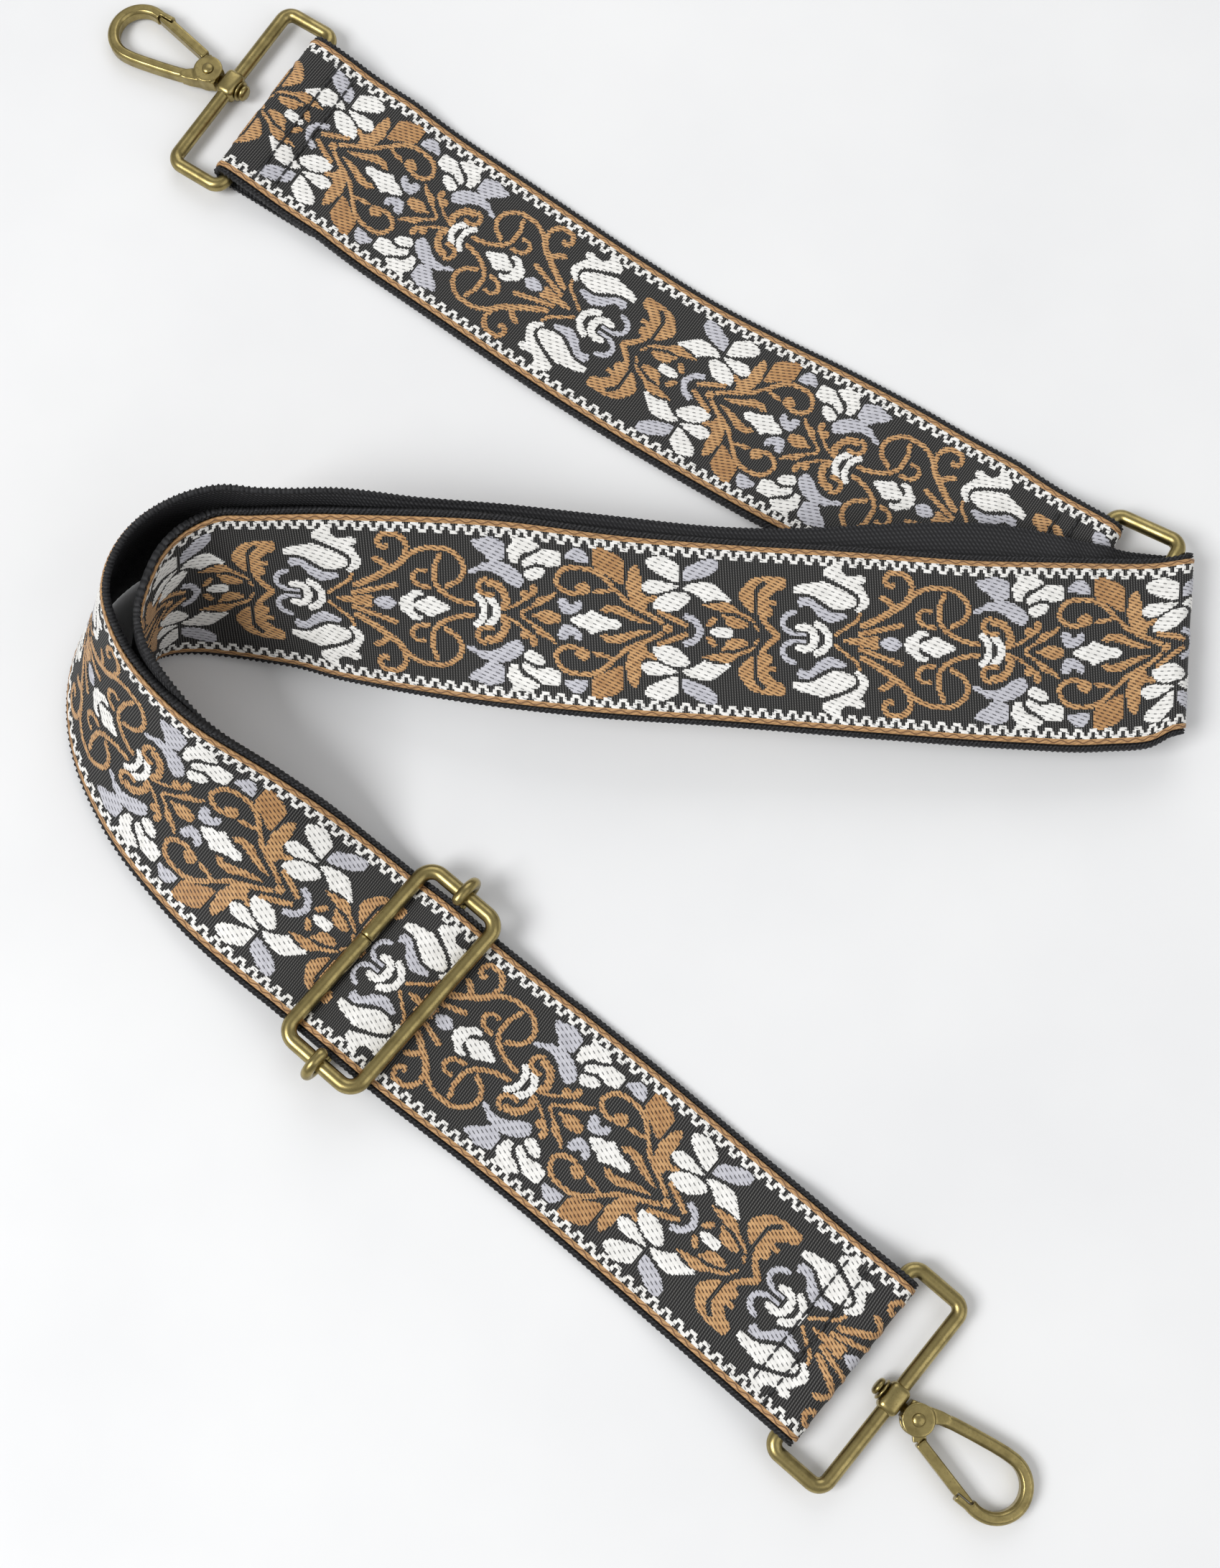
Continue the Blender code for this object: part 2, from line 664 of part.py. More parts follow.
def long_stations():
    """The long length: hook end, slider, bend, ring, bend, and the turn round the slider's middle bar."""
    radius = wrap_radius(LOOP_WIRE_RADIUS)
    hook_bar = lay_point(HOOK_2_BAR_SHARES, FACE_DEPTH + radius)
    slider_radius = wrap_radius(CENTER_BAR_RADIUS)
    slider_bar = lay_point(SLIDER_BAR_SHARES, FACE_DEPTH + slider_radius)
    fold_radius = wrap_radius(RING_WIRE_RADIUS) + RING_FOLD_EASE
    fold_height = ring_bar_middle(2).z
    fold_start = lay_point(FOLD_START_SHARES, fold_height)
    fold_end = lay_point(FOLD_END_SHARES, fold_height)
    across = HOOK_2_HEADING + RIGHT_ANGLE
    return (
        table_stations(HOOK_2_TAIL_STATION_SHARES)
        + turn_stations(hook_bar, hook_bar, radius, HOOK_2_HEADING, across, (1, 1))
        + table_stations(HOOK_2_TO_SLIDER_STATION_SHARES)
        + table_stations(OUTER_BEND_STATION_SHARES)
        + table_stations(BACK_LAYER_STATION_SHARES)
        + turn_stations(fold_start, fold_end, fold_radius, FOLD_HEADING, FOLD_ACROSS, FOLD_FIRST_SHARES)
        + table_stations(FRONT_LAYER_STATION_SHARES)
        + table_stations(INNER_BEND_STATION_SHARES)
        + turn_stations(slider_bar, slider_bar, slider_radius, HOOK_2_HEADING, across, (1, 1))
        + table_stations(SLIDER_TAIL_STATION_SHARES)
    )


def ring_bar_middle(number):
    """Middle of one of the ring's two long bars."""
    side = -1 if number == 1 else 1
    flat = math.sqrt(RING_BAR_SPACING ** 2 - RING_RISE ** 2)
    low = FACE_DEPTH + wrap_radius(RING_WIRE_RADIUS)
    centre = lay_point(RING_BARS_MIDDLE_SHARES, low + RING_RISE / 2)
    return centre + across_vector(RING_HEADING, 0) * (side * flat / 2) + Vector((0, 0, side * RING_RISE / 2))


def axis_frame(origin, heading, dip):
    """A frame with X along the heading, dipped below level."""
    turn = Matrix.Rotation(math.radians(heading), 4, "Z") @ Matrix.Rotation(math.radians(dip), 4, "Y")
    return Matrix.Translation(origin) @ turn


def empty(name, collection, matrix, parent=None):
    item = bpy.data.objects.new(name, None)
    item.empty_display_size = MARKER_SIZE
    collection.objects.link(item)
    item.parent = parent
    item.matrix_local = matrix
    return item


def hook_path():
    """Middle line of the hook's arm: spine, bow and nose."""
    points = []
    reach = BOW_CENTER_X - HOOK_RIVET_X
    for along, up in SPINE_SHARES:
        points.append((HOOK_RIVET_X + along * reach, up * BOW_RADIUS, 0))
    for step in range(BOW_STEPS + 1):
        angle = math.radians(BOW_START + (BOW_END - BOW_START) * step / BOW_STEPS)
        x = BOW_CENTER_X + BOW_RADIUS * math.cos(angle)
        y = BOW_CENTER_Y + BOW_RADIUS * math.sin(angle)
        points.append((x, y, 0))
    points.append((NOSE_X, -NOSE_Y, 0))
    return points


def hook_body_mesh(cutters):
    """Cast arm with two cheeks that hold the gate."""
    section = section_profile(cutters, HOOK_SECTION_WIDTH, HOOK_SECTION_HEIGHT, HOOK_SECTION_BEVEL)
    arm = swept(hook_path(), profile=section, smooth=False)
    half = CHEEK_HEIGHT / 2
    cheek = upright(CHEEK_RADIUS, -half, half)
    slot = GATE_SLOT_HEIGHT / 2
    pocket_radius = GATE_TONGUE_RADIUS + MOVING_CLEARANCE
    pocket = upright(pocket_radius, -slot, slot)
    reach = CHEEK_RADIUS * 2
    opening = box(
        (HOOK_RIVET_X - pocket_radius, -reach, -slot),
        (HOOK_RIVET_X + reach, CHEEK_RADIUS * CHEEK_OPEN_SHARE, slot),
    )
    bore_radius = RIVET_RADIUS + MOVING_CLEARANCE
    bore = upright(bore_radius, -CHEEK_HEIGHT, CHEEK_HEIGHT)
    pin_end = HOOK_RIVET_X - CHEEK_RADIUS + PIN_ROOT_DEPTH + MOVING_CLEARANCE
    root = cylinder(PIN_RADIUS + MOVING_CLEARANCE, (0, 0, 0), (pin_end, 0, 0), ROUND_SIDES)
    step = box(
        (NOSE_X - NOSE_STEP_DEPTH, -NOSE_STEP_Y, -CHEEK_HEIGHT),
        (NOSE_STEP_X, NOSE_STEP_DEPTH - NOSE_STEP_Y, CHEEK_HEIGHT),
    )
    return combined(arm, [cheek], [pocket, opening, bore, root, step], cutters, False)


def gate_mesh(cutters):
    """Gate with its tongue between the cheeks and a stepped tip."""
    half = GATE_HEIGHT / 2
    run = Vector((GATE_TIP_X - GATE_ROOT_X, GATE_ROOT_Y - GATE_TIP_Y, 0))
    angle = math.atan2(run.y, run.x)
    root = Vector((GATE_ROOT_X, -GATE_ROOT_Y, 0))
    low = root - Vector((0, GATE_WIDTH / 2, half))
    high = root + Vector((run.length, GATE_WIDTH / 2, half))
    arm = bevelled(box(low, high, angle, root), GATE_BEVEL, 2)
    tongue_half = GATE_TONGUE_HEIGHT / 2
    tongue = upright(GATE_TONGUE_RADIUS, -tongue_half, tongue_half)
    pivot = Vector((HOOK_RIVET_X, 0, 0))
    link_run = root - pivot
    link_angle = math.atan2(link_run.y, link_run.x)
    link = box(
        pivot - Vector((0, GATE_TONGUE_RADIUS * LINK_SHARE, tongue_half)),
        pivot + Vector((link_run.length, GATE_TONGUE_RADIUS * LINK_SHARE, tongue_half)), link_angle, pivot,
    )
    bore = upright(RIVET_RADIUS + MOVING_CLEARANCE, -half, half)
    pocket = upright(SPRING_POCKET_RADIUS, tongue_half - SPRING_POCKET_DEPTH, half)
    tip = box(
        (GATE_OUTER_TIP_X, -NOSE_STEP_Y - NOSE_STEP_DEPTH, -GATE_HEIGHT),
        (GATE_TIP_X + GATE_WIDTH, MOVING_CLEARANCE - NOSE_STEP_Y, GATE_HEIGHT),
    )
    return combined(arm, [tongue, link], [bore, pocket, tip], cutters, False)


def spring_mesh():
    """Small coil round the rivet, in the gate's pocket."""
    points = []
    base = GATE_TONGUE_HEIGHT / 2 - SPRING_POCKET_DEPTH + MOVING_CLEARANCE + SPRING_WIRE_RADIUS
    steps = int(SPRING_STEPS * SPRING_TURNS_SHARE)
    for step in range(steps + 1):
        turns = SPRING_TURNS_SHARE * step / steps
        angle = 2 * math.pi * turns
        x = HOOK_RIVET_X + SPRING_RADIUS * math.cos(angle)
        points.append((x, SPRING_RADIUS * math.sin(angle), base + SPRING_PITCH * turns))
    return swept(points, SPRING_WIRE_RADIUS)


def rivet_mesh(cutters):
    """Rivet through both cheeks and the gate."""
    inner = CHEEK_HEIGHT / 2 + SEAT_GAP
    outer = inner + RIVET_HEAD_HEIGHT
    sunk = inner + RIVET_HEAD_HEIGHT * HEAD_SINK_SHARE
    shaft = upright(RIVET_RADIUS, -sunk, sunk)
    heads = [upright(RIVET_HEAD_RADIUS, inner, outer), upright(RIVET_HEAD_RADIUS, -outer, -inner)]
    return combined(shaft, heads, [], cutters, False)


def swivel_pin_mesh(cutters):
    """Headed pin that ties the hook to the loop's boss."""
    head_end = -(BOSS_WIDTH / 2 + WASHER_THICKNESS + 2 * SEAT_GAP)
    head_start = head_end - PIN_HEAD_LENGTH
    tip = HOOK_RIVET_X - CHEEK_RADIUS + PIN_ROOT_DEPTH
    shaft = cylinder(PIN_RADIUS, (head_end - PIN_HEAD_LENGTH / 2, 0, 0), (tip, 0, 0), ROUND_SIDES)
    head = cylinder(PIN_HEAD_RADIUS, (head_start, 0, 0), (head_end, 0, 0), ROUND_SIDES)
    return combined(shaft, [head], [], cutters, False)


def washer_mesh(cutters):
    """Washer between the boss and the pin's head."""
    high = -(BOSS_WIDTH / 2 + SEAT_GAP)
    low = high - WASHER_THICKNESS
    plate = cylinder(WASHER_RADIUS, (low, 0, 0), (high, 0, 0), ROUND_SIDES)
    bore = cylinder(PIN_RADIUS + MOVING_CLEARANCE, (low - WASHER_THICKNESS, 0, 0), (0, 0, 0), ROUND_SIDES)
    return combined(plate, [], [bore], cutters, False)


def loop_mesh(cutters):
    """Wire loop with a bored boss on its outer bar; the outer bar's middle is at the origin."""
    points = rounded_rectangle(LOOP_BAR_SPACING / 2, LOOP_LENGTH / 2, LOOP_CORNER_RADIUS)
    points = [(x - LOOP_BAR_SPACING / 2, y, z) for x, y, z in points]
    wire = swept(points, LOOP_WIRE_RADIUS, closed=True)
    half = Vector((BOSS_WIDTH, BOSS_LENGTH, BOSS_HEIGHT)) / 2
    boss = bevelled(box(-half, half), BOSS_BEVEL, 2)
    bore = cylinder(PIN_RADIUS + MOVING_CLEARANCE, (-BOSS_WIDTH, 0, 0), (BOSS_WIDTH, 0, 0), ROUND_SIDES)
    return combined(wire, [boss], [bore], cutters, False)


def build_hook(number, bar_shares, heading, collection, cutters, brass, steel):
    """Loop, swivel and hook at one end, with an empty on each joint's axis."""
    height = FACE_DEPTH + wrap_radius(LOOP_WIRE_RADIUS)
    base = axis_frame(lay_point(bar_shares, height), heading, HOOK_DIP_DEGREES)
    loop_axis = empty(f"loop_{number}_axis", collection, base)
    outer = Matrix.Translation((LOOP_BAR_SPACING, 0, 0))
    place(f"hook_{number}_loop", loop_mesh(cutters), brass, collection, loop_axis, outer)
    swivel_axis = empty(f"hook_{number}_axis", collection, outer, loop_axis)
    place(f"hook_{number}_body", hook_body_mesh(cutters), brass, collection, swivel_axis)
    place(f"hook_{number}_swivel_pin", swivel_pin_mesh(cutters), brass, collection, swivel_axis)
    place(f"hook_{number}_washer", washer_mesh(cutters), brass, collection, swivel_axis)
    place(f"hook_{number}_gate_rivet", rivet_mesh(cutters), brass, collection, swivel_axis)
    place(f"hook_{number}_gate_spring", spring_mesh(), steel, collection, swivel_axis)
    pivot = Matrix.Translation((HOOK_RIVET_X, 0, 0))
    gate_axis = empty(f"gate_{number}_axis", collection, pivot, swivel_axis)
    place(f"hook_{number}_gate", gate_mesh(cutters), brass, collection, gate_axis, pivot.inverted())


def build_ring(collection, brass):
    """Rectangular ring, parented to an empty on its first bar."""
    first = ring_bar_middle(1)
    second = ring_bar_middle(2)
    tilt = -math.degrees(math.asin(RING_RISE / RING_BAR_SPACING))
    axis = empty("ring_axis", collection, axis_frame(first, RING_HEADING, tilt))
    points = rounded_rectangle(RING_BAR_SPACING / 2, RING_LENGTH / 2, RING_CORNER_RADIUS)
    mesh = swept(points, RING_WIRE_RADIUS, closed=True)
    place("connector_ring", mesh, brass, collection, axis, Matrix.Translation((RING_BAR_SPACING / 2, 0, 0)))
    empty("band_axis", collection, axis_frame(second, RING_HEADING, 0))


def build_slider(collection, brass):
    """Frame and middle bar; the bar's ends curl round the frame's short sides."""
    bar_height = FACE_DEPTH + wrap_radius(CENTER_BAR_RADIUS)
    stack = FACE_DEPTH + 2 * BACK_DEPTH + SEAT_GAP
    stack += FACE_DEPTH + SEAT_GAP + BACK_DEPTH
    frame_height = stack + FACE_DEPTH + SEAT_GAP + SLIDER_WIRE_RADIUS
    axis = empty("slider_axis", collection, Matrix.Translation(lay_point(SLIDER_BAR_SHARES, frame_height)))
    points = rounded_rectangle(SLIDER_BAR_SPACING / 2, SLIDER_LENGTH / 2, SLIDER_CORNER_RADIUS)
    place("slider_frame", swept(points, SLIDER_WIRE_RADIUS, closed=True), brass, collection, axis)
    drop = bar_height - frame_height
    eye = SLIDER_WIRE_RADIUS + CURL_CLEARANCE + CENTER_BAR_RADIUS
    side = [(0, CENTER_BAR_STRAIGHT / 2 + out * eye, drop + up * eye) for out, up in BAR_RISE_SHARES]
    for angle in CURL_ANGLES:
        angle = math.radians(angle)
        side.append((0, SLIDER_LENGTH / 2 + eye * math.cos(angle), eye * math.sin(angle)))
    path = [(x, -y, z) for x, y, z in reversed(side)] + side
    place("slider_center_bar", swept(path, CENTER_BAR_RADIUS), brass, collection, axis)


def build_webbing(collection, backing, trims, thread):
    """Both lengths of webbing, their woven trims and the end stitches."""
    lengths = (("short", short_stations(), trims[0]), ("long", long_stations(), trims[1]))
    for name, stations, trim in lengths:
        frames = ribbon_frames(stations)
        middle_of_back = -(PLY_GAP + BACKING_THICKNESS) / 2
        back = ribbon_mesh(frames, WEBBING_WIDTH, middle_of_back, BACKING_THICKNESS, 0, True)
        place(f"{name}_webbing", back, backing, collection)
        middle_of_trim = (PLY_GAP + TRIM_THICKNESS) / 2
        face = ribbon_mesh(frames, TRIM_WIDTH, middle_of_trim, TRIM_THICKNESS, TRIM_END_INSET, True)
        place(f"{name}_jacquard", face, trim, collection)
        if name == "short":
            place("seam_hook_1", seam_mesh(frames[::-1]), thread, collection)
            place("seam_ring", seam_mesh(frames), thread, collection)
        else:
            place("seam_hook_2", seam_mesh(frames), thread, collection)


def main():
    clear_scene()
    collection = new_collection("bag_strap")
    cutters = new_collection("cutters", True)
    brass = metal("antique_brass", (0.42, 0.31, 0.12), 0.38)
    steel = metal("spring_steel", (0.45, 0.45, 0.46), 0.3)
    backing = cloth("black_webbing", (0.02, 0.02, 0.021), 0.85)
    trims = (cloth("short_trim", (0.16, 0.12, 0.09), 0.8), cloth("long_trim", (0.17, 0.13, 0.1), 0.8))
    thread = cloth("black_thread", (0.03, 0.03, 0.03), 0.7)
    build_webbing(collection, backing, trims, thread)
    build_ring(collection, brass)
    build_slider(collection, brass)
    build_hook(2, HOOK_2_BAR_SHARES, HOOK_2_HEADING, collection, cutters, brass, steel)
    build_hook(1, HOOK_1_BAR_SHARES, HOOK_1_HEADING, collection, cutters, brass, steel)


main()
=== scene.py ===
"""Detachable bag strap: woven trim, ropy backing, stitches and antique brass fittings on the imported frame."""

import math

import bmesh
import bpy
import numpy as np
from mathutils import Matrix, Vector


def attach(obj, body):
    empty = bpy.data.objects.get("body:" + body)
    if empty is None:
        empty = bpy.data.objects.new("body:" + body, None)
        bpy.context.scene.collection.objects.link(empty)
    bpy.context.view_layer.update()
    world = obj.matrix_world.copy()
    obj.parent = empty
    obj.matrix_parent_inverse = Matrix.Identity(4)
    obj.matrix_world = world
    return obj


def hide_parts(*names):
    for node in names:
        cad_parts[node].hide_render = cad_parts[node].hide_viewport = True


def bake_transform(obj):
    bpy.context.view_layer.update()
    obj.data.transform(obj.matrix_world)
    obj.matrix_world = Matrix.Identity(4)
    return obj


MM = 0.001

# Webbing, in metres, as in the part
WEBBING_WIDTH = 0.050
BACKING_THICKNESS = 0.0012
TRIM_WIDTH = 0.0465
TRIM_THICKNESS = 0.0007
PLY_GAP = 0.0003
SEAT_GAP = 0.0003
LAY_SPAN = 0.100
LAY_SHIFT_X = 0.0297
LAY_SHIFT_Y = -0.0199
TRIM_END_INSET = 0.0015
BACK_DEPTH = BACKING_THICKNESS + PLY_GAP / 2
FACE_DEPTH = TRIM_THICKNESS + PLY_GAP / 2
SAMPLE_STEP = 0.0010
BAR_TURN_STEPS = 8
NORMAL_STEP = 0.0008
BACKING_STEP = 0.00030
STITCH_LENGTH = 0.0027

# Metal parts, in metres, as in the part
RING_WIRE_RADIUS = 0.0020
RING_BAR_SPACING = 0.0195
RING_LENGTH = 0.0575
RING_CORNER_RADIUS = 0.0031
RING_RISE = 0.0036
RING_FOLD_EASE = 0.0001
SLIDER_WIRE_RADIUS = 0.0020
SLIDER_BAR_SPACING = 0.0235
SLIDER_LENGTH = 0.0556
SLIDER_CORNER_RADIUS = 0.0040
CENTER_BAR_RADIUS = 0.0015
CENTER_BAR_STRAIGHT = 0.0510
CURL_CLEARANCE = 0.0004
CENTER_BAR_FLARE_STEPS = 5
CENTER_BAR_FLARE_SHARE = 0.10
# Where the slider's wire is joined, as a share along its far bar, and how its two ends are shaped there
SLIDER_JOINT_SHARE = 0.12
JOINT_STEPS = (0.00005, 0.0003)
JOINT_RADIUS_SHARE = 0.86
JOINT_BULGE_SHARE = 0.02
LOOP_WIRE_RADIUS = 0.00195
LOOP_BAR_SPACING = 0.0160
LOOP_LENGTH = 0.0560
LOOP_CORNER_RADIUS = 0.0030
BOSS_SIZE = (0.0056, 0.0080, 0.0055)
BOSS_BEVEL = 0.0017
HOOK_DIP_DEGREES = 2.3
HOOK_RIVET_X = 0.0075
HOOK_WEB_HALF = 0.00205
HOOK_VOXEL = 0.00018
GATE_VOXEL = 0.00015
# The cast web that joins the hook's cheeks to its arm, and turned profiles (along the axis, radius), in mm
HOOK_WEB = (
    (3.6, 2.9), (7.5, 4.2), (11, 5.5), (13, 5.9), (13.6, 4.6), (12.9, 3), (12, 2.3), (11.2, 1.7),
    (10.9, 1.1), (10.5, 1.1), (10.1, 2.1), (9.1, 2.9), (7.5, 3.3), (5.6, 2.7), (4.6, 1.7), (4.25, 0),
    (4.6, -1.5), (4.4, -2.2), (3.6, -2.2),
)
PIN_PROFILE = (
    (-5.55, 0.3), (-5.5, 1.2), (-5.3, 1.8), (-4.9, 2.2), (-4.5, 2.3), (-4.2, 2.2), (-4.05, 2), (-4.02, 1.2),
    (4.3, 1.2), (4.4, 0.9),
)
WASHER_PROFILE = (
    (-3.72, 1.6), (-3.72, 2.5), (-3.6, 2.75), (-3.4, 2.85), (-3.2, 2.8), (-3.1, 2.6), (-3.1, 1.6),
    (-3.4, 1.5),
)
RIVET_PROFILE = (
    (-3.25, 0.3), (-3.2, 0.8), (-3.05, 1.25), (-2.85, 1.55), (-2.62, 1.65), (-2.58, 1), (2.58, 1),
    (2.62, 1.65), (2.85, 1.55), (3.05, 1.25), (3.2, 0.8), (3.25, 0.3),
)
BAR_RISE_SHARES = ((0, 0), (0.25, 0.10), (0.58, 0.34))
WIRE_END_ANGLES = (30, 60, 80, 89)
CURL_ANGLES = (-68, -45, -20, 5, 30, 55, 80, 105, 124)

HOOK_2_BAR_SHARES = (1.364, -0.728)
HOOK_1_BAR_SHARES = (-1.962, 0.860)
SLIDER_BAR_SHARES = (-0.0775, -0.755)
RING_BARS_MIDDLE_SHARES = (0.694, 1.170)
SHORT_ON_RING_SHARE = 0.008
FOLD_START_SHARES = (0.870, 1.256)
FOLD_END_SHARES = (0.896, 1.218)
HOOK_2_HEADING = 0.0
HOOK_1_HEADING = 187.4
RING_HEADING = 9.5
FOLD_HEADING = 34.0
FOLD_ACROSS = 124.0
FOLD_FIRST_SHARES = (0.89, 0.86)

# Stations of the webbing, as in the part: x and y as shares of the lay span, height as a share of the width.
# Then, where they differ from these, heading and climb of the line across, and shares of the two half widths.
STATION_REST = (90, 0, 1, 1)
HOOK_2_TAIL = (
    (1.084, -0.728, 0.017), (1.18, -0.728, 0.017), (1.28, -0.728, 0.0182),
)
HOOK_2_TO_SLIDER = (
    (1.28, -0.728, 0.132), (1.2, -0.728, 0.09), (1.12, -0.728, 0.079), (1.06, -0.728, 0.078),
    (1, -0.728, 0.06), (0.92, -0.728, 0.034), (0.86, -0.728, 0.0272), (0.79, -0.728, 0.0272),
    (0.6, -0.729, 0.0272), (0.4, -0.7345, 0.0272), (0.34, -0.7365, 0.0285), (0.285, -0.74, 0.035),
    (0.22, -0.744, 0.052), (0.12, -0.75, 0.098), (0.04, -0.753, 0.127), (-0.02, -0.754, 0.168),
    (-0.077, -0.755, 0.195), (-0.135, -0.756, 0.168), (-0.195, -0.758, 0.1272), (-0.23, -0.76, 0.1278),
    (-0.27, -0.761, 0.1305), (-0.33, -0.764, 0.148, 90, 2),
)
OUTER_BEND = (
    (-0.4, -0.768, 0.178, 89, 7), (-0.631, -0.78, 0.312, 81.8, 28, 1.02, 1.02),
    (-0.865, -0.776, 0.418, 69.7, 46, 1.05, 1.04), (-1.055, -0.724, 0.466, 57, 56.6, 1.05, 1.05),
    (-1.173, -0.648, 0.488, 41, 64, 1.05, 1.04), (-1.248, -0.555, 0.5, 27, 71, 1.03, 1.02),
    (-1.28, -0.45, 0.51, 15, 76), (-1.272, -0.34, 0.514, 2, 80.5), (-1.22, -0.225, 0.516, -15, 85),
    (-1.132, -0.148, 0.516, 130, 88),
)
BACK_LAYER = (
    (-1.058, -0.099, 0.512, 130, 87), (-0.987, -0.044, 0.502, 130, 86), (-0.878, -0.018, 0.496, 130, 72),
    (-0.772, 0.001, 0.5, 130, 58), (-0.684, 0.03, 0.492, 130, 48), (-0.605, 0.07, 0.484, 130, 40),
    (-0.456, 0.168, 0.456, 130, 29), (-0.261, 0.303, 0.418, 130, 20), (-0.033, 0.47, 0.372, 130, 14),
    (0.12, 0.608, 0.332, 130, 11), (0.245, 0.735, 0.304, 129.5, 9), (0.375, 0.865, 0.276, 129, 7),
    (0.47, 0.953, 0.254, 128, 5, 0.99, 0.97), (0.545, 1.015, 0.238, 127, 3.5, 0.96, 0.93),
    (0.585, 1.047, 0.228, 126.5, 3.5, 0.93, 0.88), (0.625, 1.078, 0.214, 126, 4.5, 0.9, 0.84),
    (0.661, 1.104, 0.182, 125.5, 5.5, 0.89, 0.81), (0.707, 1.136, 0.138, 125, 8.5, 0.89, 0.78),
    (0.755, 1.169, 0.1, 124.5, 4.5, 0.89, 0.78), (0.812, 1.21, 0.086, 124, 1, 0.9, 0.8),
)
FRONT_LAYER = (
    (0.86, 1.162, 0.24, 126, 0.5, 1.03, 1.03), (0.774, 1.078, 0.258, 127, 1.5, 1.04, 1.04),
    (0.716, 1.024, 0.276, 128, 3, 1.04, 1.04), (0.615, 0.935, 0.316, 128.5, 5, 1.02, 1.02),
    (0.502, 0.839, 0.352, 129, 7), (0.355, 0.724, 0.388, 129.5, 9, 0.99, 0.99),
    (0.208, 0.609, 0.424, 130, 11, 0.98, 0.98), (-0.01, 0.437, 0.48, 130.3, 13.5, 0.96, 0.96),
    (-0.229, 0.268, 0.536, 130.5, 18, 0.96, 0.97), (-0.435, 0.124, 0.572, 130.5, 27, 0.98, 1),
    (-0.575, 0.023, 0.582, 127.5, 36), (-0.733, -0.084, 0.564, 129, 44), (-0.816, -0.136, 0.542, 130, 48),
    (-0.906, -0.189, 0.508, 131, 54), (-0.979, -0.238, 0.488, 127, 57.5),
)
INNER_BEND = (
    (-1.051, -0.289, 0.474, 122, 60), (-1.092, -0.336, 0.48, 116, 64.5), (-1.12, -0.386, 0.49, 107, 68.5),
    (-1.128, -0.438, 0.502, 96, 74), (-1.106, -0.514, 0.512, 42, 81.5), (-1.078, -0.596, 0.494, 44.5, 71.9),
    (-1.004, -0.659, 0.468, 58, 64.5, 0.98, 1), (-0.867, -0.741, 0.382, 69.7, 46, 0.95, 0.97),
    (-0.638, -0.761, 0.25, 81.8, 27.5, 0.97, 0.99), (-0.5, -0.767, 0.138, 87, 13),
    (-0.42, -0.765, 0.064, 89, 5), (-0.36, -0.761, 0.023, 90, 0.5), (-0.3, -0.758, 0.0176),
    (-0.2, -0.756, 0.017), (-0.13, -0.755, 0.017),
)
SLIDER_TAIL = (
    (-0.12, -0.756, 0.118), (-0.16, -0.756, 0.084), (-0.21, -0.757, 0.0772), (-0.26, -0.758, 0.0772),
    (-0.31, -0.76, 0.079),
)
RING_TAIL = (
    (0.322, 1.127, 0.017, 98.5, 0), (0.42, 1.138, 0.017, 99, 0), (0.515, 1.151, 0.0182, 99.4, 0),
)
SHORT_RUN = (
    (0.515, 1.153, 0.134, 99.2, 0, 1.01, 1), (0.436, 1.146, 0.09, 98.5, 0, 1.03, 1.01),
    (0.36, 1.139, 0.079, 98.3, 0, 1.04, 1.02), (0.31, 1.136, 0.078, 98.2, 0, 1.04, 1.03),
    (0.25, 1.13, 0.06, 98.2, 0, 1.04, 1.03), (0.17, 1.122, 0.034, 98, 0, 1.04, 1.04),
    (0.1, 1.113, 0.0274, 98, 0, 1.04, 1.04), (0.03, 1.103, 0.0272, 98.3, 0, 1.04, 1.04),
    (-0.08, 1.084, 0.027, 99, 0, 1.04, 1.04), (-0.244, 1.052, 0.027, 99, 0, 1.04, 1.04),
    (-0.416, 1.019, 0.027, 98.5, 0, 1.02, 1.02), (-0.623, 0.984, 0.027, 98, 0),
    (-0.868, 0.956, 0.027, 96.5, 0), (-1.24, 0.928, 0.027, 95.5, 0), (-1.39, 0.9165, 0.0272, 96, 0),
    (-1.46, 0.911, 0.0276, 96, 0), (-1.52, 0.906, 0.034, 96, 0), (-1.6, 0.899, 0.06, 97, 0),
    (-1.66, 0.895, 0.078, 97, 0), (-1.72, 0.889, 0.079, 97.2, 0), (-1.799, 0.881, 0.09, 97.4, 0),
    (-1.879, 0.871, 0.132, 97.4, 0),
)
HOOK_1_TAIL = (
    (-1.878, 0.871, 0.0182, 97.4, 0), (-1.783, 0.883, 0.017, 97.4, 0), (-1.684, 0.896, 0.017, 97.4, 0),
)

# Where the pattern sits along each length: distance in mm and the pattern's place in repeats
LONG_PHASE = (
    (0, 5.454), (59.7, 4.993), (113.4, 4.594), (141.5, 4.38), (165, 4.197), (209, 3.828), (224, 3.715),
    (241.3, 3.588), (269.4, 3.374), (670.2, 0.38), (693, 0.208), (718.5, 0.006), (740, -0.162),
    (776, -0.434), (806, -0.665), (848.7, -0.998), (1046, -2.53),
)
SHORT_PHASE = (
    (0, -0.515), (64, 0.005), (93.4, 0.25), (115, 0.422), (135.5, 0.598), (154, 0.752), (169, 0.868),
    (199, 1.093), (218.5, 1.246), (262.6, 1.597), (338, 2.19),
)
REPEAT = 126.0
PATTERN_SHIFT = 0.7
CELLS_PER_REPEAT = 264
CELLS_ACROSS = 104
EDGE_TEETH = 33
# The zigzag border's steps, in mm: from and to across, then from and to along, from the middle of a tooth
TOOTH_STEPS = ((20.9, 22.1, -1, 0.9), (20, 21.3, 0.45, 1.4), (19.1, 20, 0.9, 2))
STRIPE_START_MM = 22.1
STRIPE_MIDDLE_MM = 22.6

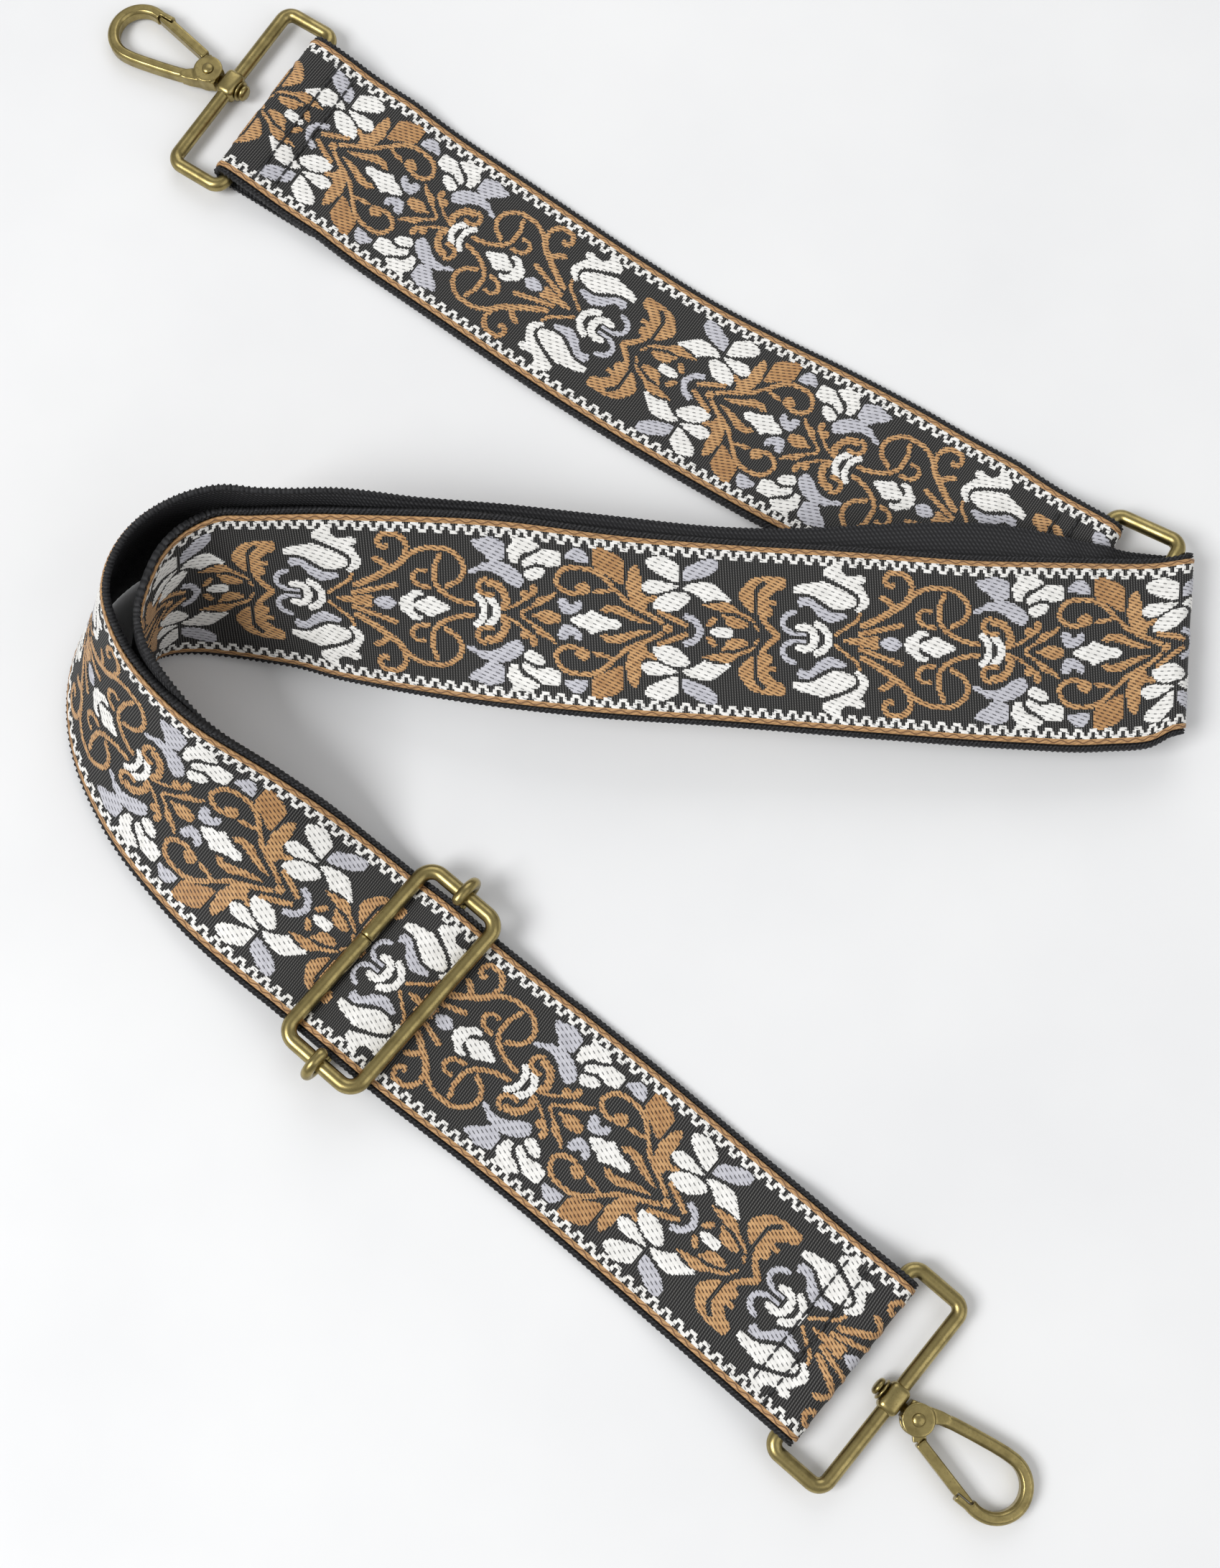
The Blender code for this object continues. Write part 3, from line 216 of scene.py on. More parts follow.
GROUND, WHITE, LILAC, TAN, TAN_DARK, STRIPE = range(6)
HEIGHTS_MM = (0.52, 0.80, 0.78, 0.82, 0.78, 0.80)
TRIM_FLOOR_MM = 0.15
TRIM_EDGE_DROP_MM = 0.12
EDGE_TWIST_PITCH_MM = 1.8
EDGE_TWIST_MM = 0.07
SEAM_DENT_MM = 0.26
SEAM_DENT_WIDTH_MM = 0.8
SEAM_REACH_SHARES = (0.93, 0.80)
STITCH_SPAN_SHARES = (0.06, 0.94)
# Height and radius along one stitch, in mm
STITCH_SHAPE = ((0.2, 0.2), (0.66, 0.28), (0.88, 0.33), (0.92, 0.34), (0.88, 0.33), (0.66, 0.28), (0.2, 0.2))
# The webbing's ropy edge: how far out each column of points is, in mm, and its share of a bead's height
SELVEDGE = (
    (25, 0.1), (24.9, 0.6), (24.65, 1), (24.4, 0.7), (24.15, 0.65), (23.9, 1), (23.65, 0.75), (23.4, 0),
)
SELVEDGE_MIDDLE_MM = 24.25
BACKING_INNER_MM = (23.1, 18, 12, 6)
BEAD_PITCH_MM = 1.5
BEAD_RISE_MM = 0.22
BEAD_SWELL_MM = 0.55
BEAD_SINK_MM = 0.25
BEAD_SWAY_MM = 0.26
BEAD_INSET_MM = 0.30

# The pattern's upper half, in mm: along the repeat and out from its middle line. Filled outlines first.
OUTLINES = (
    (WHITE, (-3.7, 11.6), (-3.6, 13.2), (-2, 14), (0.5, 14.5), (3, 15), (5, 14.8), (7.5, 13.8), (10, 12.7),
     (12, 11.4), (12.5, 10.4), (11.9, 9.3), (10.3, 8.4), (8.5, 8.2), (6.5, 8.2), (5, 9), (3, 10.2),
     (1.1, 11.2), (-1.3, 11.6)),
    (LILAC, (-2.7, 9.1), (-1.9, 10.7), (0.4, 10.5), (2.3, 9.3), (4.5, 7.9), (6.5, 7.2), (9.2, 7.2),
     (10, 6.5), (9.4, 5.7), (6.5, 4.7), (4.5, 4.8), (2.3, 6.3), (0.7, 8.2), (-1, 8.7), (-1.7, 7.9)),
    (WHITE, (3.7, 16.8), (3.9, 18.2), (5.8, 19.6), (7.3, 20.4), (8.8, 20.4), (8.7, 18.4), (9.7, 17.2),
     (11.3, 16.8), (13, 17.5), (14.7, 16.7), (14.5, 15.5), (13.5, 14.9), (14.7, 13.3), (15.6, 11.2),
     (15.5, 9.7), (14.4, 8.5), (12.9, 7.7), (12.1, 8), (12.7, 9.2), (13.4, 10.5), (12.9, 12.1), (11, 13.4),
     (8.3, 14.6), (6, 15.8), (4.7, 16.3)),
    (TAN, (9.2, -0.4), (9.6, 0.4), (12, 0.9), (15, 1.3), (17.4, 1.7), (18.6, 1.2), (18, 0.4), (17.8, -0.4)),
    (LILAC, (18.8, -0.6), (18.9, 0.5), (20.5, 1.6), (22.2, 1.8), (23.6, 0.9), (24, -0.6)),
    (WHITE, (25.2, -0.6), (25.4, 1.4), (26.8, 2.6), (28.3, 3.9), (30.6, 3.8), (31.2, 3), (29.8, 2.5),
     (28.7, 1.5), (28.3, -0.6)),
    (WHITE, (29.1, -0.6), (29.8, 1.2), (31.3, 1.9), (32.2, 2.7), (33.5, 2.7), (34.6, 1.9), (36.5, 1),
     (37.8, 0.3), (37.8, -0.6)),
    (TAN, (54.8, 5.7), (56, 6.2), (57.3, 6), (57.2, 7.2), (58.1, 7.9), (59.1, 7.5), (58.9, 5.6),
     (57.4, 4.3), (55.8, 3.3), (55.2, 4.2)),
    (TAN, (57.8, 2.6), (58.6, 3.7), (59.5, 4.9), (61.4, 5.5), (63.6, 6.8), (63.5, 5.8), (62.3, 4.6),
     (60.4, 3.2), (58.6, 2.3)),
    (TAN, (57.3, -0.5), (57.5, 0.2), (59.3, 0.8), (61, 1.8), (63, 1.6), (64.3, 1.2), (64.4, -0.5)),
    (LILAC, (42.8, 18), (44.3, 18.3), (46.3, 19), (49.3, 18.8), (51, 17.3), (50.9, 14.2), (50.1, 13.4),
     (48.7, 12.9), (46.6, 13.4), (45.9, 14.6), (43.8, 15.8), (42.8, 17)),
    (LILAC, (42.1, 9.4), (42.3, 10.4), (44.5, 11.5), (46.3, 12.6), (50.8, 12.8), (53.8, 11.4), (55.5, 9.8),
     (55.5, 7.6), (54.1, 6.7), (52.1, 7.6), (49.9, 9.3), (47.8, 10.1), (45.3, 10.3), (43.7, 9.6)),
    (WHITE, (51.8, 15.3), (51.9, 17), (52.9, 18.2), (53, 19.5), (56.8, 19.4), (59.5, 18.2), (59.2, 17.4),
     (57, 16.3), (55.2, 15.4), (54.6, 14.2), (54.2, 12.9), (52.7, 13), (52.1, 14.1)),
    (WHITE, (55.9, 12.3), (55.3, 13.3), (56.5, 14.8), (58.3, 15.8), (60.3, 17.2), (62.8, 17.5),
     (64.8, 16.8), (64.9, 14.4), (63.6, 13.3), (60.8, 13.2), (58.8, 13.7), (57.5, 12.8)),
    (WHITE, (55.8, 10.8), (57, 11.7), (58.8, 12.5), (60.6, 12.3), (60.8, 10.8), (59.3, 9.6), (57.3, 8.9),
     (56.2, 9.7)),
    (LILAC, (65.8, 16.1), (66.4, 17.3), (68.3, 18.8), (70.1, 18.7), (71.7, 16.3), (71.5, 15.2),
     (69.3, 15.4), (67.3, 15.5)),
    (LILAC, (64.3, 4.9), (66, 5.4), (67, 4.2), (67.9, 3.9), (68.6, 5), (70, 5.1), (70.2, 3.7), (68.9, 2.1),
     (66.8, 1.2), (65.3, 1.6), (64.4, 3.3)),
    (WHITE, (67.5, -0.6), (67.6, 0.3), (69.2, 1.5), (71.2, 2), (72.4, 3), (73.6, 2.6), (75.4, 1.8),
     (78, 1.3), (79.2, 0.7), (79.5, -0.6)),
    (TAN, (68.5, 8.9), (69.5, 9.9), (71.2, 10), (72, 8.6), (71.4, 7.2), (69.6, 6.8), (68.6, 7.6)),
    (TAN, (72.6, 7.8), (73.8, 9), (76.2, 9.1), (78, 9.7), (78.4, 8.8), (76, 8.1), (74, 7.5)),
    (TAN, (74.6, 3.4), (75.8, 4.6), (78, 5), (80, 4.5), (82, 3.4), (84.5, 2.2), (86.6, 1.2), (86.2, 0.8),
     (83, 1.2), (80.4, 2.1), (78, 2.9), (75.6, 2.9)),
    (TAN_DARK, (72.8, 19.6), (76.3, 19.1), (79.8, 17.2), (80, 12.5), (80.4, 11.2), (79.2, 10.6),
     (75.8, 12.8), (72.9, 14.5)),
    (TAN, (81.3, 12.8), (81.4, 14.6), (82.5, 15.9), (83.5, 15.7), (84.3, 13), (84.3, 10.2), (84.8, 8.8),
     (86.4, 8.1), (88, 8.7), (88, 7.5), (86, 6.2), (85.6, 4.9), (84, 4.4), (82.5, 5.4), (81.5, 7.2),
     (80.9, 9.2), (80.8, 11.2)),
    (TAN, (89.8, -0.5), (90, 0.9), (91.5, 1.1), (92.1, 0.6), (92.2, -0.5)),
    (WHITE, (85.3, 17.4), (87.3, 18.7), (89.5, 19.1), (91.3, 18.4), (93.4, 16.7), (93.5, 13.5),
     (92.9, 12.5), (90.8, 13.1), (87.8, 14.5), (85.9, 16.1)),
    (WHITE, (84.6, 10.5), (85.3, 11.8), (87.3, 12.7), (89.8, 12.3), (92, 11.9), (93.4, 11.3), (92.4, 10.6),
     (89.8, 9.6), (87.3, 8.9), (85.3, 9.4)),
    (WHITE, (87.3, 5.1), (87.9, 7.2), (90.1, 9), (92.9, 9.9), (95.5, 9.6), (96.3, 8.5), (94.8, 6.1),
     (92.6, 4.8), (89.8, 4.6)),
    (WHITE, (94.7, 10.7), (95.9, 12.1), (98.8, 12.8), (101.1, 13.1), (103.1, 11.8), (105.3, 9.9),
     (106.3, 8.7), (105.5, 8.2), (102.9, 8.5), (99.9, 7.8), (98.3, 9), (96.5, 10.1)),
    (LILAC, (94.8, 13), (94.7, 15.8), (96.7, 17.4), (99.1, 18.6), (101.9, 19.2), (103.3, 17.9),
     (102.5, 16.2), (100.9, 14.8), (98.8, 14), (96.5, 13.2)),
    (WHITE, (101.2, -0.6), (101.3, 0.3), (102, 0.9), (103.6, 1.3), (105.8, 1.5), (106.6, 0.9),
     (106.4, -0.6)),
    (TAN, (100.2, 1.7), (101.2, 3.6), (102.6, 3.9), (102.8, 2.8), (101.8, 1.7), (100.9, 1.2)),
    (TAN, (99.4, 6.9), (101.9, 7.5), (104.9, 8), (107, 7.2), (108.7, 5.9), (111.3, 4.6), (112.4, 3.4),
     (112, 3.1), (109.5, 4.5), (107, 5.3), (104, 5.5), (102, 6)),
    (TAN, (103.8, 4.6), (105.6, 4.6), (108.3, 3.9), (110.6, 2.9), (110.3, 1.8), (107.8, 1.3), (105.4, 2),
     (105, 3.2)),
    (TAN, (108.2, 10), (108.8, 11.7), (110.6, 13.8), (112.8, 15.4), (114.5, 14.8), (112.9, 13), (112.1, 11),
     (112, 7.9), (112.1, 5.8), (110.5, 6.7), (108.9, 8.6)),
    (TAN, (114.5, 15.6), (118.7, 15.7), (120.2, 15), (120, 12.7), (117.8, 11.8), (115.9, 10), (116.9, 9.3),
     (118, 9.3), (117.5, 8.1), (115.9, 7.8), (117.1, 6.6), (116.9, 5.4), (115.7, 4.9), (115.6, 3.7),
     (117, 2.3), (118.6, 1), (118.9, -0.5), (117.6, -0.5), (116, 1.2), (114.3, 3.2), (113.3, 5.4),
     (113.1, 8.4), (113.4, 11.4), (114.4, 12.8), (115.6, 13.6), (114.7, 14.4)),
)
# Lines of thread: colour, width in mm, then the points that the line runs through
LINES = (
    (LILAC, 1.4, (-3.6, 6.6), (-5.6, 5.6), (-6.4, 4), (-6, 2.2), (-4.4, 1.2)),
    (LILAC, 0.8, (-4.6, 1.2), (-2.6, 0.8), (-0.8, 1)),
    (WHITE, 2, (-2.2, 2.7), (-0.4, 2.8), (1.1, 1.8), (1.7, 0), (1.1, -1.8)),
    (WHITE, 1.8, (2.1, 3.8), (3.6, 3.1), (5, 1.5), (5.4, 0), (5, -1.5)),
    (TAN, 0.9, (7.2, 1.4), (9.8, 3.4), (12.4, 5.3), (13.3, 7.3)),
    (TAN, 1.35, (13.6, 2), (17, 3), (20.5, 4), (24, 5)),
    (TAN, 1.7, (14.2, 4.2), (16.6, 5.4), (19.6, 7.2), (23, 9.4), (25.4, 11.4), (26.6, 13.2)),
    (TAN, 1.6, (19.1, 11.9), (20.6, 11.1), (22.6, 9.4)),
    (TAN, 1.4, (26.4, 13), (26.7, 15.8), (25.2, 18), (22.6, 18.8), (20.5, 18), (19.9, 16.2), (20.9, 15),
     (21.9, 15.3)),
    (TAN, 1.35, (26.2, 12.6), (29.3, 14.6), (33, 15.6), (37, 15.1), (40, 12.9), (40.8, 10), (39.6, 7.4),
     (36.8, 5.7)),
    (TAN, 1.3, (34.8, 13.6), (33.8, 11), (33.6, 8), (34.3, 5.6), (36.3, 3.7), (39.3, 2.2), (43.4, 1.4)),
    (TAN, 1.2, (31.5, 9.3), (29.6, 9.3), (28.4, 8), (28.7, 6.3), (30.4, 5.3), (32.2, 5)),
    (WHITE, 1.7, (44.4, 3.5), (45.5, 2.3), (46.1, 0), (45.5, -2.3)),
    (WHITE, 1.8, (47.4, 3.3), (48.6, 1.9), (49.2, 0), (48.6, -1.9)),
    (TAN, 1.2, (46.2, 8.3), (44.8, 7.3), (44.6, 5.7), (45.8, 4.5), (48, 4.3)),
    (TAN, 2, (47.4, 7.3), (49.3, 7), (50.8, 5.2), (51.4, 3.2), (51.1, 1.7)),
    (TAN, 0.8, (50.6, 0.7), (53, 1.7), (55.2, 3.2), (56.8, 4.6)),
    (TAN, 0.8, (55.2, 0.4), (57, 1.6), (58.9, 2.9)),
    (TAN, 1.3, (77.6, 9.5), (75.2, 12.1), (72, 13.6), (68.5, 13.8), (65.5, 12.9), (64, 10.8), (64.1, 8.5),
     (65.9, 7.3), (68.2, 7), (69.8, 7.6)),
    (TAN, 1.2, (77.4, 9.7), (79.2, 8.1), (80.8, 6.4), (83.2, 4.9), (86.2, 3.4), (89.5, 1.5)),
    (TAN, 1.3, (88.9, 4.2), (91.6, 3), (95.2, 1.3)),
    (LILAC, 1.8, (95.6, 3.5), (97.4, 2.6), (98.4, 1.2), (98.7, 0), (98.4, -1.2)),
    (TAN, 0.8, (112.5, 2.5), (113.2, 1.4)),
)


# Shapes

def lay_point(shares, height):
    return np.array([shares[0] * LAY_SPAN + LAY_SHIFT_X, shares[1] * LAY_SPAN + LAY_SHIFT_Y, height])


def across_vector(heading, climb):
    heading, climb = math.radians(heading), math.radians(climb)
    flat = math.cos(climb)
    return np.array([flat * math.cos(heading), flat * math.sin(heading), math.sin(climb)])


def table_rows(table):
    rows = []
    for x, y, height, *rest in table:
        heading, climb, *shares = (*rest, *STATION_REST[len(rest):])
        rows.append([*lay_point((x, y), height * WEBBING_WIDTH), *across_vector(heading, climb), *shares])
    return rows


def wrap_radius(bar_radius):
    return bar_radius + SEAT_GAP + BACK_DEPTH


def turn_rows(start, end, radius, heading, across, first_shares=(1, 1)):
    """Half a turn round a bar, from below it to above."""
    rows = []
    for step in range(BAR_TURN_STEPS + 1):
        part = step / BAR_TURN_STEPS
        angle = math.pi * (part - 0.5)
        middle = start + (end - start) * part + across_vector(heading, 0) * radius * math.cos(angle)
        middle[2] += radius * math.sin(angle)
        shares = [share + (1 - share) * min(1, part * 2) for share in first_shares]
        rows.append([*middle, *across_vector(across, 0), *shares])
    return rows


def bar_turn(shares, bar_radius, heading, across):
    """Half a turn round a bar that the lower layer of webbing carries."""
    radius = wrap_radius(bar_radius)
    bar = lay_point(shares, FACE_DEPTH + radius)
    return turn_rows(bar, bar, radius, heading, across)


def ring_bar_middle(number):
    side = -1 if number == 1 else 1
    flat = math.sqrt(RING_BAR_SPACING ** 2 - RING_RISE ** 2)
    low = FACE_DEPTH + wrap_radius(RING_WIRE_RADIUS)
    centre = lay_point(RING_BARS_MIDDLE_SHARES, low + RING_RISE / 2)
    return centre + (across_vector(RING_HEADING, 0) * flat + np.array([0, 0, RING_RISE])) * side / 2


def short_rows():
    bar = ring_bar_middle(1) + across_vector(RING_HEADING + 90, 0) * (SHORT_ON_RING_SHARE * LAY_SPAN)
    ring_turn = turn_rows(bar, bar, wrap_radius(RING_WIRE_RADIUS), RING_HEADING, RING_HEADING + 90)
    hook_turn = bar_turn(HOOK_1_BAR_SHARES, LOOP_WIRE_RADIUS, HOOK_1_HEADING, HOOK_1_HEADING - 90)[::-1]
    return table_rows(RING_TAIL) + ring_turn + table_rows(SHORT_RUN) + hook_turn + table_rows(HOOK_1_TAIL)


def long_rows():
    fold_height = ring_bar_middle(2)[2]
    fold = (lay_point(FOLD_START_SHARES, fold_height), lay_point(FOLD_END_SHARES, fold_height))
    fold_radius = wrap_radius(RING_WIRE_RADIUS) + RING_FOLD_EASE
    across = HOOK_2_HEADING + 90
    return (
        table_rows(HOOK_2_TAIL)
        + bar_turn(HOOK_2_BAR_SHARES, LOOP_WIRE_RADIUS, HOOK_2_HEADING, across)
        + table_rows(HOOK_2_TO_SLIDER + OUTER_BEND + BACK_LAYER)
        + turn_rows(*fold, fold_radius, FOLD_HEADING, FOLD_ACROSS, FOLD_FIRST_SHARES)
        + table_rows(FRONT_LAYER + INNER_BEND)
        + bar_turn(SLIDER_BAR_SHARES, CENTER_BAR_RADIUS, HOOK_2_HEADING, across)
        + table_rows(SLIDER_TAIL)
    )


class Ribbon:
    """A length of webbing: a smooth ruled surface read by distance along it, in metres."""

    def __init__(self, rows):
        rows = np.array(rows, float)
        rows = np.concatenate([[2 * rows[0] - rows[1]], rows, [2 * rows[-1] - rows[-2]]])
        samples = []
        for quad in zip(rows, rows[1:], rows[2:], rows[3:]):
            spans = [math.sqrt(math.dist(a[:3], b[:3])) for a, b in zip(quad, quad[1:])]
            knots = np.concatenate([[0], np.cumsum(spans)])
            cells = max(1, math.ceil(math.dist(quad[1][:3], quad[2][:3]) / SAMPLE_STEP))
            for cell in range(cells):
                at = knots[1] + (knots[2] - knots[1]) * cell / cells
                level = quad
                for degree in (1, 2):
                    pairs = zip(level, level[1:], knots, knots[degree:])
                    level = [one + (two - one) * (at - low) / (high - low) for one, two, low, high in pairs]
                samples.append(level[0] + (level[1] - level[0]) * (at - knots[1]) / (knots[2] - knots[1]))
        samples.append(rows[-2])
        self.samples = np.array(samples)
        steps = np.linalg.norm(np.diff(self.samples[:, :3], axis=0), axis=1)
        self.distance = np.concatenate([[0], np.cumsum(steps)])
        self.length = self.distance[-1]

    def face(self, where, sides):
        """Points on the neutral face, and the unit vector across the webbing at each distance."""
        row = np.stack([np.interp(where, self.distance, column) for column in self.samples.T], 1)
        across = (row[:, 3:6] / np.linalg.norm(row[:, 3:6], axis=1)[:, None])[:, None]
        share = np.where(sides > 0, row[:, 6:7], row[:, 7:8])
        return row[:, None, :3] + across * (sides * share)[..., None], across

    def at(self, where, sides, heights):
        """Points at distances (n), sides in metres and heights above the neutral face (n x m)."""
        sides = np.broadcast_to(sides, heights.shape)
        points, across = self.face(where, sides)
        along = self.face(where + NORMAL_STEP, sides)[0] - self.face(where - NORMAL_STEP, sides)[0]
        normal = np.cross(across, along)
        normal /= np.linalg.norm(normal, axis=2)[..., None]
        return points + normal * heights[..., None]


def grid_mesh(name, points, kinds=None, uv=None, caps=True):
    """A mesh from a grid of points whose last column joins the first; caps fill its two ends."""
    rows, columns = points.shape[:2]
    row, column = np.meshgrid(np.arange(rows - 1) * columns, np.arange(columns), indexing="ij")
    after = (column + 1) % columns
    beyond = row + columns
    faces = np.stack([row + column, row + after, beyond + after, beyond + column], -1).reshape(-1, 4)
    mesh = bpy.data.meshes.new(name)
    mesh.from_pydata(points.reshape(-1, 3).tolist(), [], faces.tolist())
    if kinds is not None:
        mesh.polygons.foreach_set("material_index", kinds.reshape(-1).astype(np.int32))
    if uv is not None:
        layer = mesh.uv_layers.new(name="weave")
        layer.uv.foreach_set("vector", uv.reshape(-1, 2)[faces.reshape(-1)].reshape(-1).astype(np.float32))
    mesh.shade_smooth()
    if caps:
        work = bmesh.new()
        work.from_mesh(mesh)
        rims = [edge for edge in work.edges if edge.is_boundary]
        for edge in rims:
            edge.smooth = False
        for face in bmesh.ops.holes_fill(work, edges=rims)["faces"]:
            face.smooth = False
        work.to_mesh(mesh)
        work.free()
    mesh.update()
    return mesh


def add_object(name, mesh, *materials):
    item = bpy.data.objects.new(name, mesh)
    bpy.context.scene.collection.objects.link(item)
    for material in materials:
        mesh.materials.append(material)
    return item


def tube_mesh(name, points, radii, sides=24, closed=False, bulge=1.0):
    """A round wire through the points, with round ends where it is open."""
    points = np.array(points, float)
    radii = np.broadcast_to(radii, len(points))
    if closed:
        tangent = np.roll(points, -1, 0) - np.roll(points, 1, 0)
    else:
        tangent = np.gradient(points, axis=0)
    tangent /= np.linalg.norm(tangent, axis=1)[:, None]
    seed = np.array([0, 0, 1.0]) if abs(tangent[0][2]) < 0.9 else np.array([1.0, 0, 0])
    normals = []
    for direction in tangent:
        seed = seed - direction * (seed @ direction)
        seed = seed / np.linalg.norm(seed)
        normals.append(seed)
    normal = np.array(normals)
    if not closed:
        angle = np.radians(WIRE_END_ANGLES)
        count = len(points)
        push = np.concatenate([-np.sin(angle[::-1]), np.zeros(count), np.sin(angle)])
        shrink = np.concatenate([np.cos(angle[::-1]), np.ones(count), np.cos(angle)])
        index = np.clip(np.arange(len(push)) - len(angle), 0, count - 1)
        points, tangent, normal, radii = (values[index] for values in (points, tangent, normal, radii))
        points = points + tangent * (push * bulge * radii)[:, None]
        radii = radii * shrink
    other = np.cross(tangent, normal)
    angle = np.linspace(0, 2 * math.pi, sides, endpoint=False)
    circle = np.cos(angle)[None, :, None] * normal[:, None] + np.sin(angle)[None, :, None] * other[:, None]
    grid = points[:, None] + circle * radii[:, None, None]
    if closed:
        grid = np.concatenate([grid, grid[:1]])
    return grid_mesh(name, grid, caps=not closed)


# The woven pattern

def smooth_line(points, closed, steps=6):
    """A curve that runs through the points."""
    after, mode = (2, "wrap") if closed else (1, "edge")
    padded = np.pad(np.array(points, float), ((1, after), (0, 0)), mode=mode)
    result = []
    for a, b, c, d in zip(padded, padded[1:], padded[2:], padded[3:]):
        for t in np.arange(steps) / steps:
            bend = (2 * a - 5 * b + 4 * c - d) * t * t + (3 * b - a - 3 * c + d) * t ** 3
            result.append(0.5 * (2 * b + (c - a) * t + bend))
    if not closed:
        result.append(padded[-1])
    return np.array(result)


def inside(outline, u, v):
    hit = np.zeros(u.shape, bool)
    after = np.roll(outline, -1, 0)
    for (x1, y1), (x2, y2) in zip(outline, after):
        if y1 != y2:
            crosses = (y1 > v) != (y2 > v)
            hit ^= crosses & (u < (x2 - x1) * (v - y1) / (y2 - y1) + x1)
    return hit


def near_line(points, width, u, v):
    hit = np.zeros(u.shape, bool)
    for (x1, y1), (x2, y2) in zip(points, points[1:]):
        run = (x2 - x1) ** 2 + (y2 - y1) ** 2
        if run > 0:
            t = np.clip(((u - x1) * (x2 - x1) + (v - y1) * (y2 - y1)) / run, 0, 1)
            hit |= (u - x1 - t * (x2 - x1)) ** 2 + (v - y1 - t * (y2 - y1)) ** 2 < width * width / 4
    return hit


def pattern_cells():
    """One repeat of the pattern as a grid of thread colours: along by across."""
    along = (np.arange(CELLS_PER_REPEAT) + 0.5) * REPEAT / CELLS_PER_REPEAT
    half_width = TRIM_WIDTH / MM / 2
    half = CELLS_ACROSS // 2
    out = (np.arange(half) + 0.5) * half_width / half
    u, v = np.meshgrid(along, out, indexing="ij")
    cells = np.full(u.shape, GROUND)
    for colour, *points in OUTLINES:
        outline = smooth_line(points, True)
        for shift in (0, REPEAT):
            cells[inside(outline, u - shift, v)] = colour
    for colour, width, *points in LINES:
        line = smooth_line(points, False)
        for shift in (0, REPEAT):
            cells[near_line(line, width, u - shift, v)] = colour
    tooth = REPEAT / EDGE_TEETH
    t = np.abs((u / tooth) % 1 - 0.5) * tooth
    for inner, outer, near, far in TOOTH_STEPS:
        cells[(v > inner) & (v < outer) & (t > near) & (t < far)] = WHITE
    cells[v > STRIPE_START_MM] = STRIPE
    return np.concatenate([cells[:, ::-1], cells], 1)


def trim_piece(name, ribbon, phases, start, end, cells, materials, seams):
    """The woven trim between two distances, its threads raised where the pattern has them."""
    table = np.array(phases)
    order = np.argsort(table[:, 1])
    low, high = sorted(np.interp([start / MM, end / MM], table[:, 0], table[:, 1]))
    first, last = math.ceil(low * CELLS_PER_REPEAT), math.floor(high * CELLS_PER_REPEAT)
    phase = np.concatenate([[low], np.arange(first, last + 1) / CELLS_PER_REPEAT, [high]])
    where = np.interp(phase, table[order, 1], table[order, 0]) * MM
    phase = phase - PATTERN_SHIFT / REPEAT
    index = np.floor((phase[:-1] + phase[1:]) / 2 * CELLS_PER_REPEAT).astype(int) % CELLS_PER_REPEAT
    kinds = cells[index]
    height = np.array(HEIGHTS_MM)[kinds]
    u_mm = (phase * REPEAT)[:, None]
    padded = np.pad(height, ((1, 1), (1, 1)), mode="edge")
    corner = (padded[:-1, :-1] + padded[1:, :-1] + padded[:-1, 1:] + padded[1:, 1:]) / 4
    sides = np.linspace(-TRIM_WIDTH / 2, TRIM_WIDTH / 2, CELLS_ACROSS + 1)
    twist = np.cos(2 * math.pi * (u_mm / EDGE_TWIST_PITCH_MM + np.array([[0, 0.5]])))
    corner[:, [1, -2]] += EDGE_TWIST_MM * twist
    for seam in seams:
        dent = SEAM_DENT_MM * np.exp(-((where - seam) / MM / SEAM_DENT_WIDTH_MM) ** 2)[:, None]
        corner -= dent * (np.abs(sides)[None] < SEAM_REACH_SHARES[0] * TRIM_WIDTH / 2)
    corner[:, [0, -1]] -= TRIM_EDGE_DROP_MM
    sides = np.concatenate([sides, sides[[-1, 0]]])
    floor = np.full((len(phase), 2), TRIM_FLOOR_MM)
    points = ribbon.at(where, sides, np.concatenate([corner, floor], 1) * MM)
    uv = np.stack(np.broadcast_arrays(u_mm, sides[None] / MM), -1)
    rim = np.full((len(kinds), 3), GROUND)
    rim[:, 0] = rim[:, 2] = STRIPE
    mesh = grid_mesh(name, points, np.concatenate([kinds, rim], 1), uv)
    return add_object(name, mesh, *materials)


def backing_piece(name, ribbon, start, end, material):
    """The black backing between two distances, with a ropy selvedge along each side."""
    where = np.linspace(start, end, int((end - start) / BACKING_STEP) + 1)
    edge, share = np.array(SELVEDGE).T
    inner = np.array(BACKING_INNER_MM)
    line = np.concatenate([-edge, -inner, [0], inner[::-1], edge[::-1]])
    along = where[:, None] / MM
    turn = math.pi * along / BEAD_PITCH_MM
    beads = np.where(edge > SELVEDGE_MIDDLE_MM, np.cos(turn) ** 2, np.sin(turn) ** 2)
    plain = np.zeros((len(where), 2 * len(inner) + 1))
    rise = share * (BEAD_RISE_MM + BEAD_SWELL_MM * beads)
    sink = share * BEAD_SINK_MM * (1 - beads)
    top = np.concatenate([rise, plain, rise[:, ::-1]], 1) - PLY_GAP / 2 / MM
    under = np.concatenate([sink, plain, sink[:, ::-1]], 1) - BACK_DEPTH / MM
    sides = np.concatenate([line, line[::-1]])
    sway = BEAD_SWAY_MM * beads[:, :1] - BEAD_INSET_MM
    sides = np.where(np.abs(sides) > SELVEDGE_MIDDLE_MM, np.sign(sides) * (np.abs(sides) + sway), sides)
    points = ribbon.at(where, sides * MM, np.concatenate([top, under[:, ::-1]], 1) * MM)
    uv = np.stack(np.broadcast_arrays(along, sides), -1)
    return add_object(name, grid_mesh(name, points, None, uv), material)


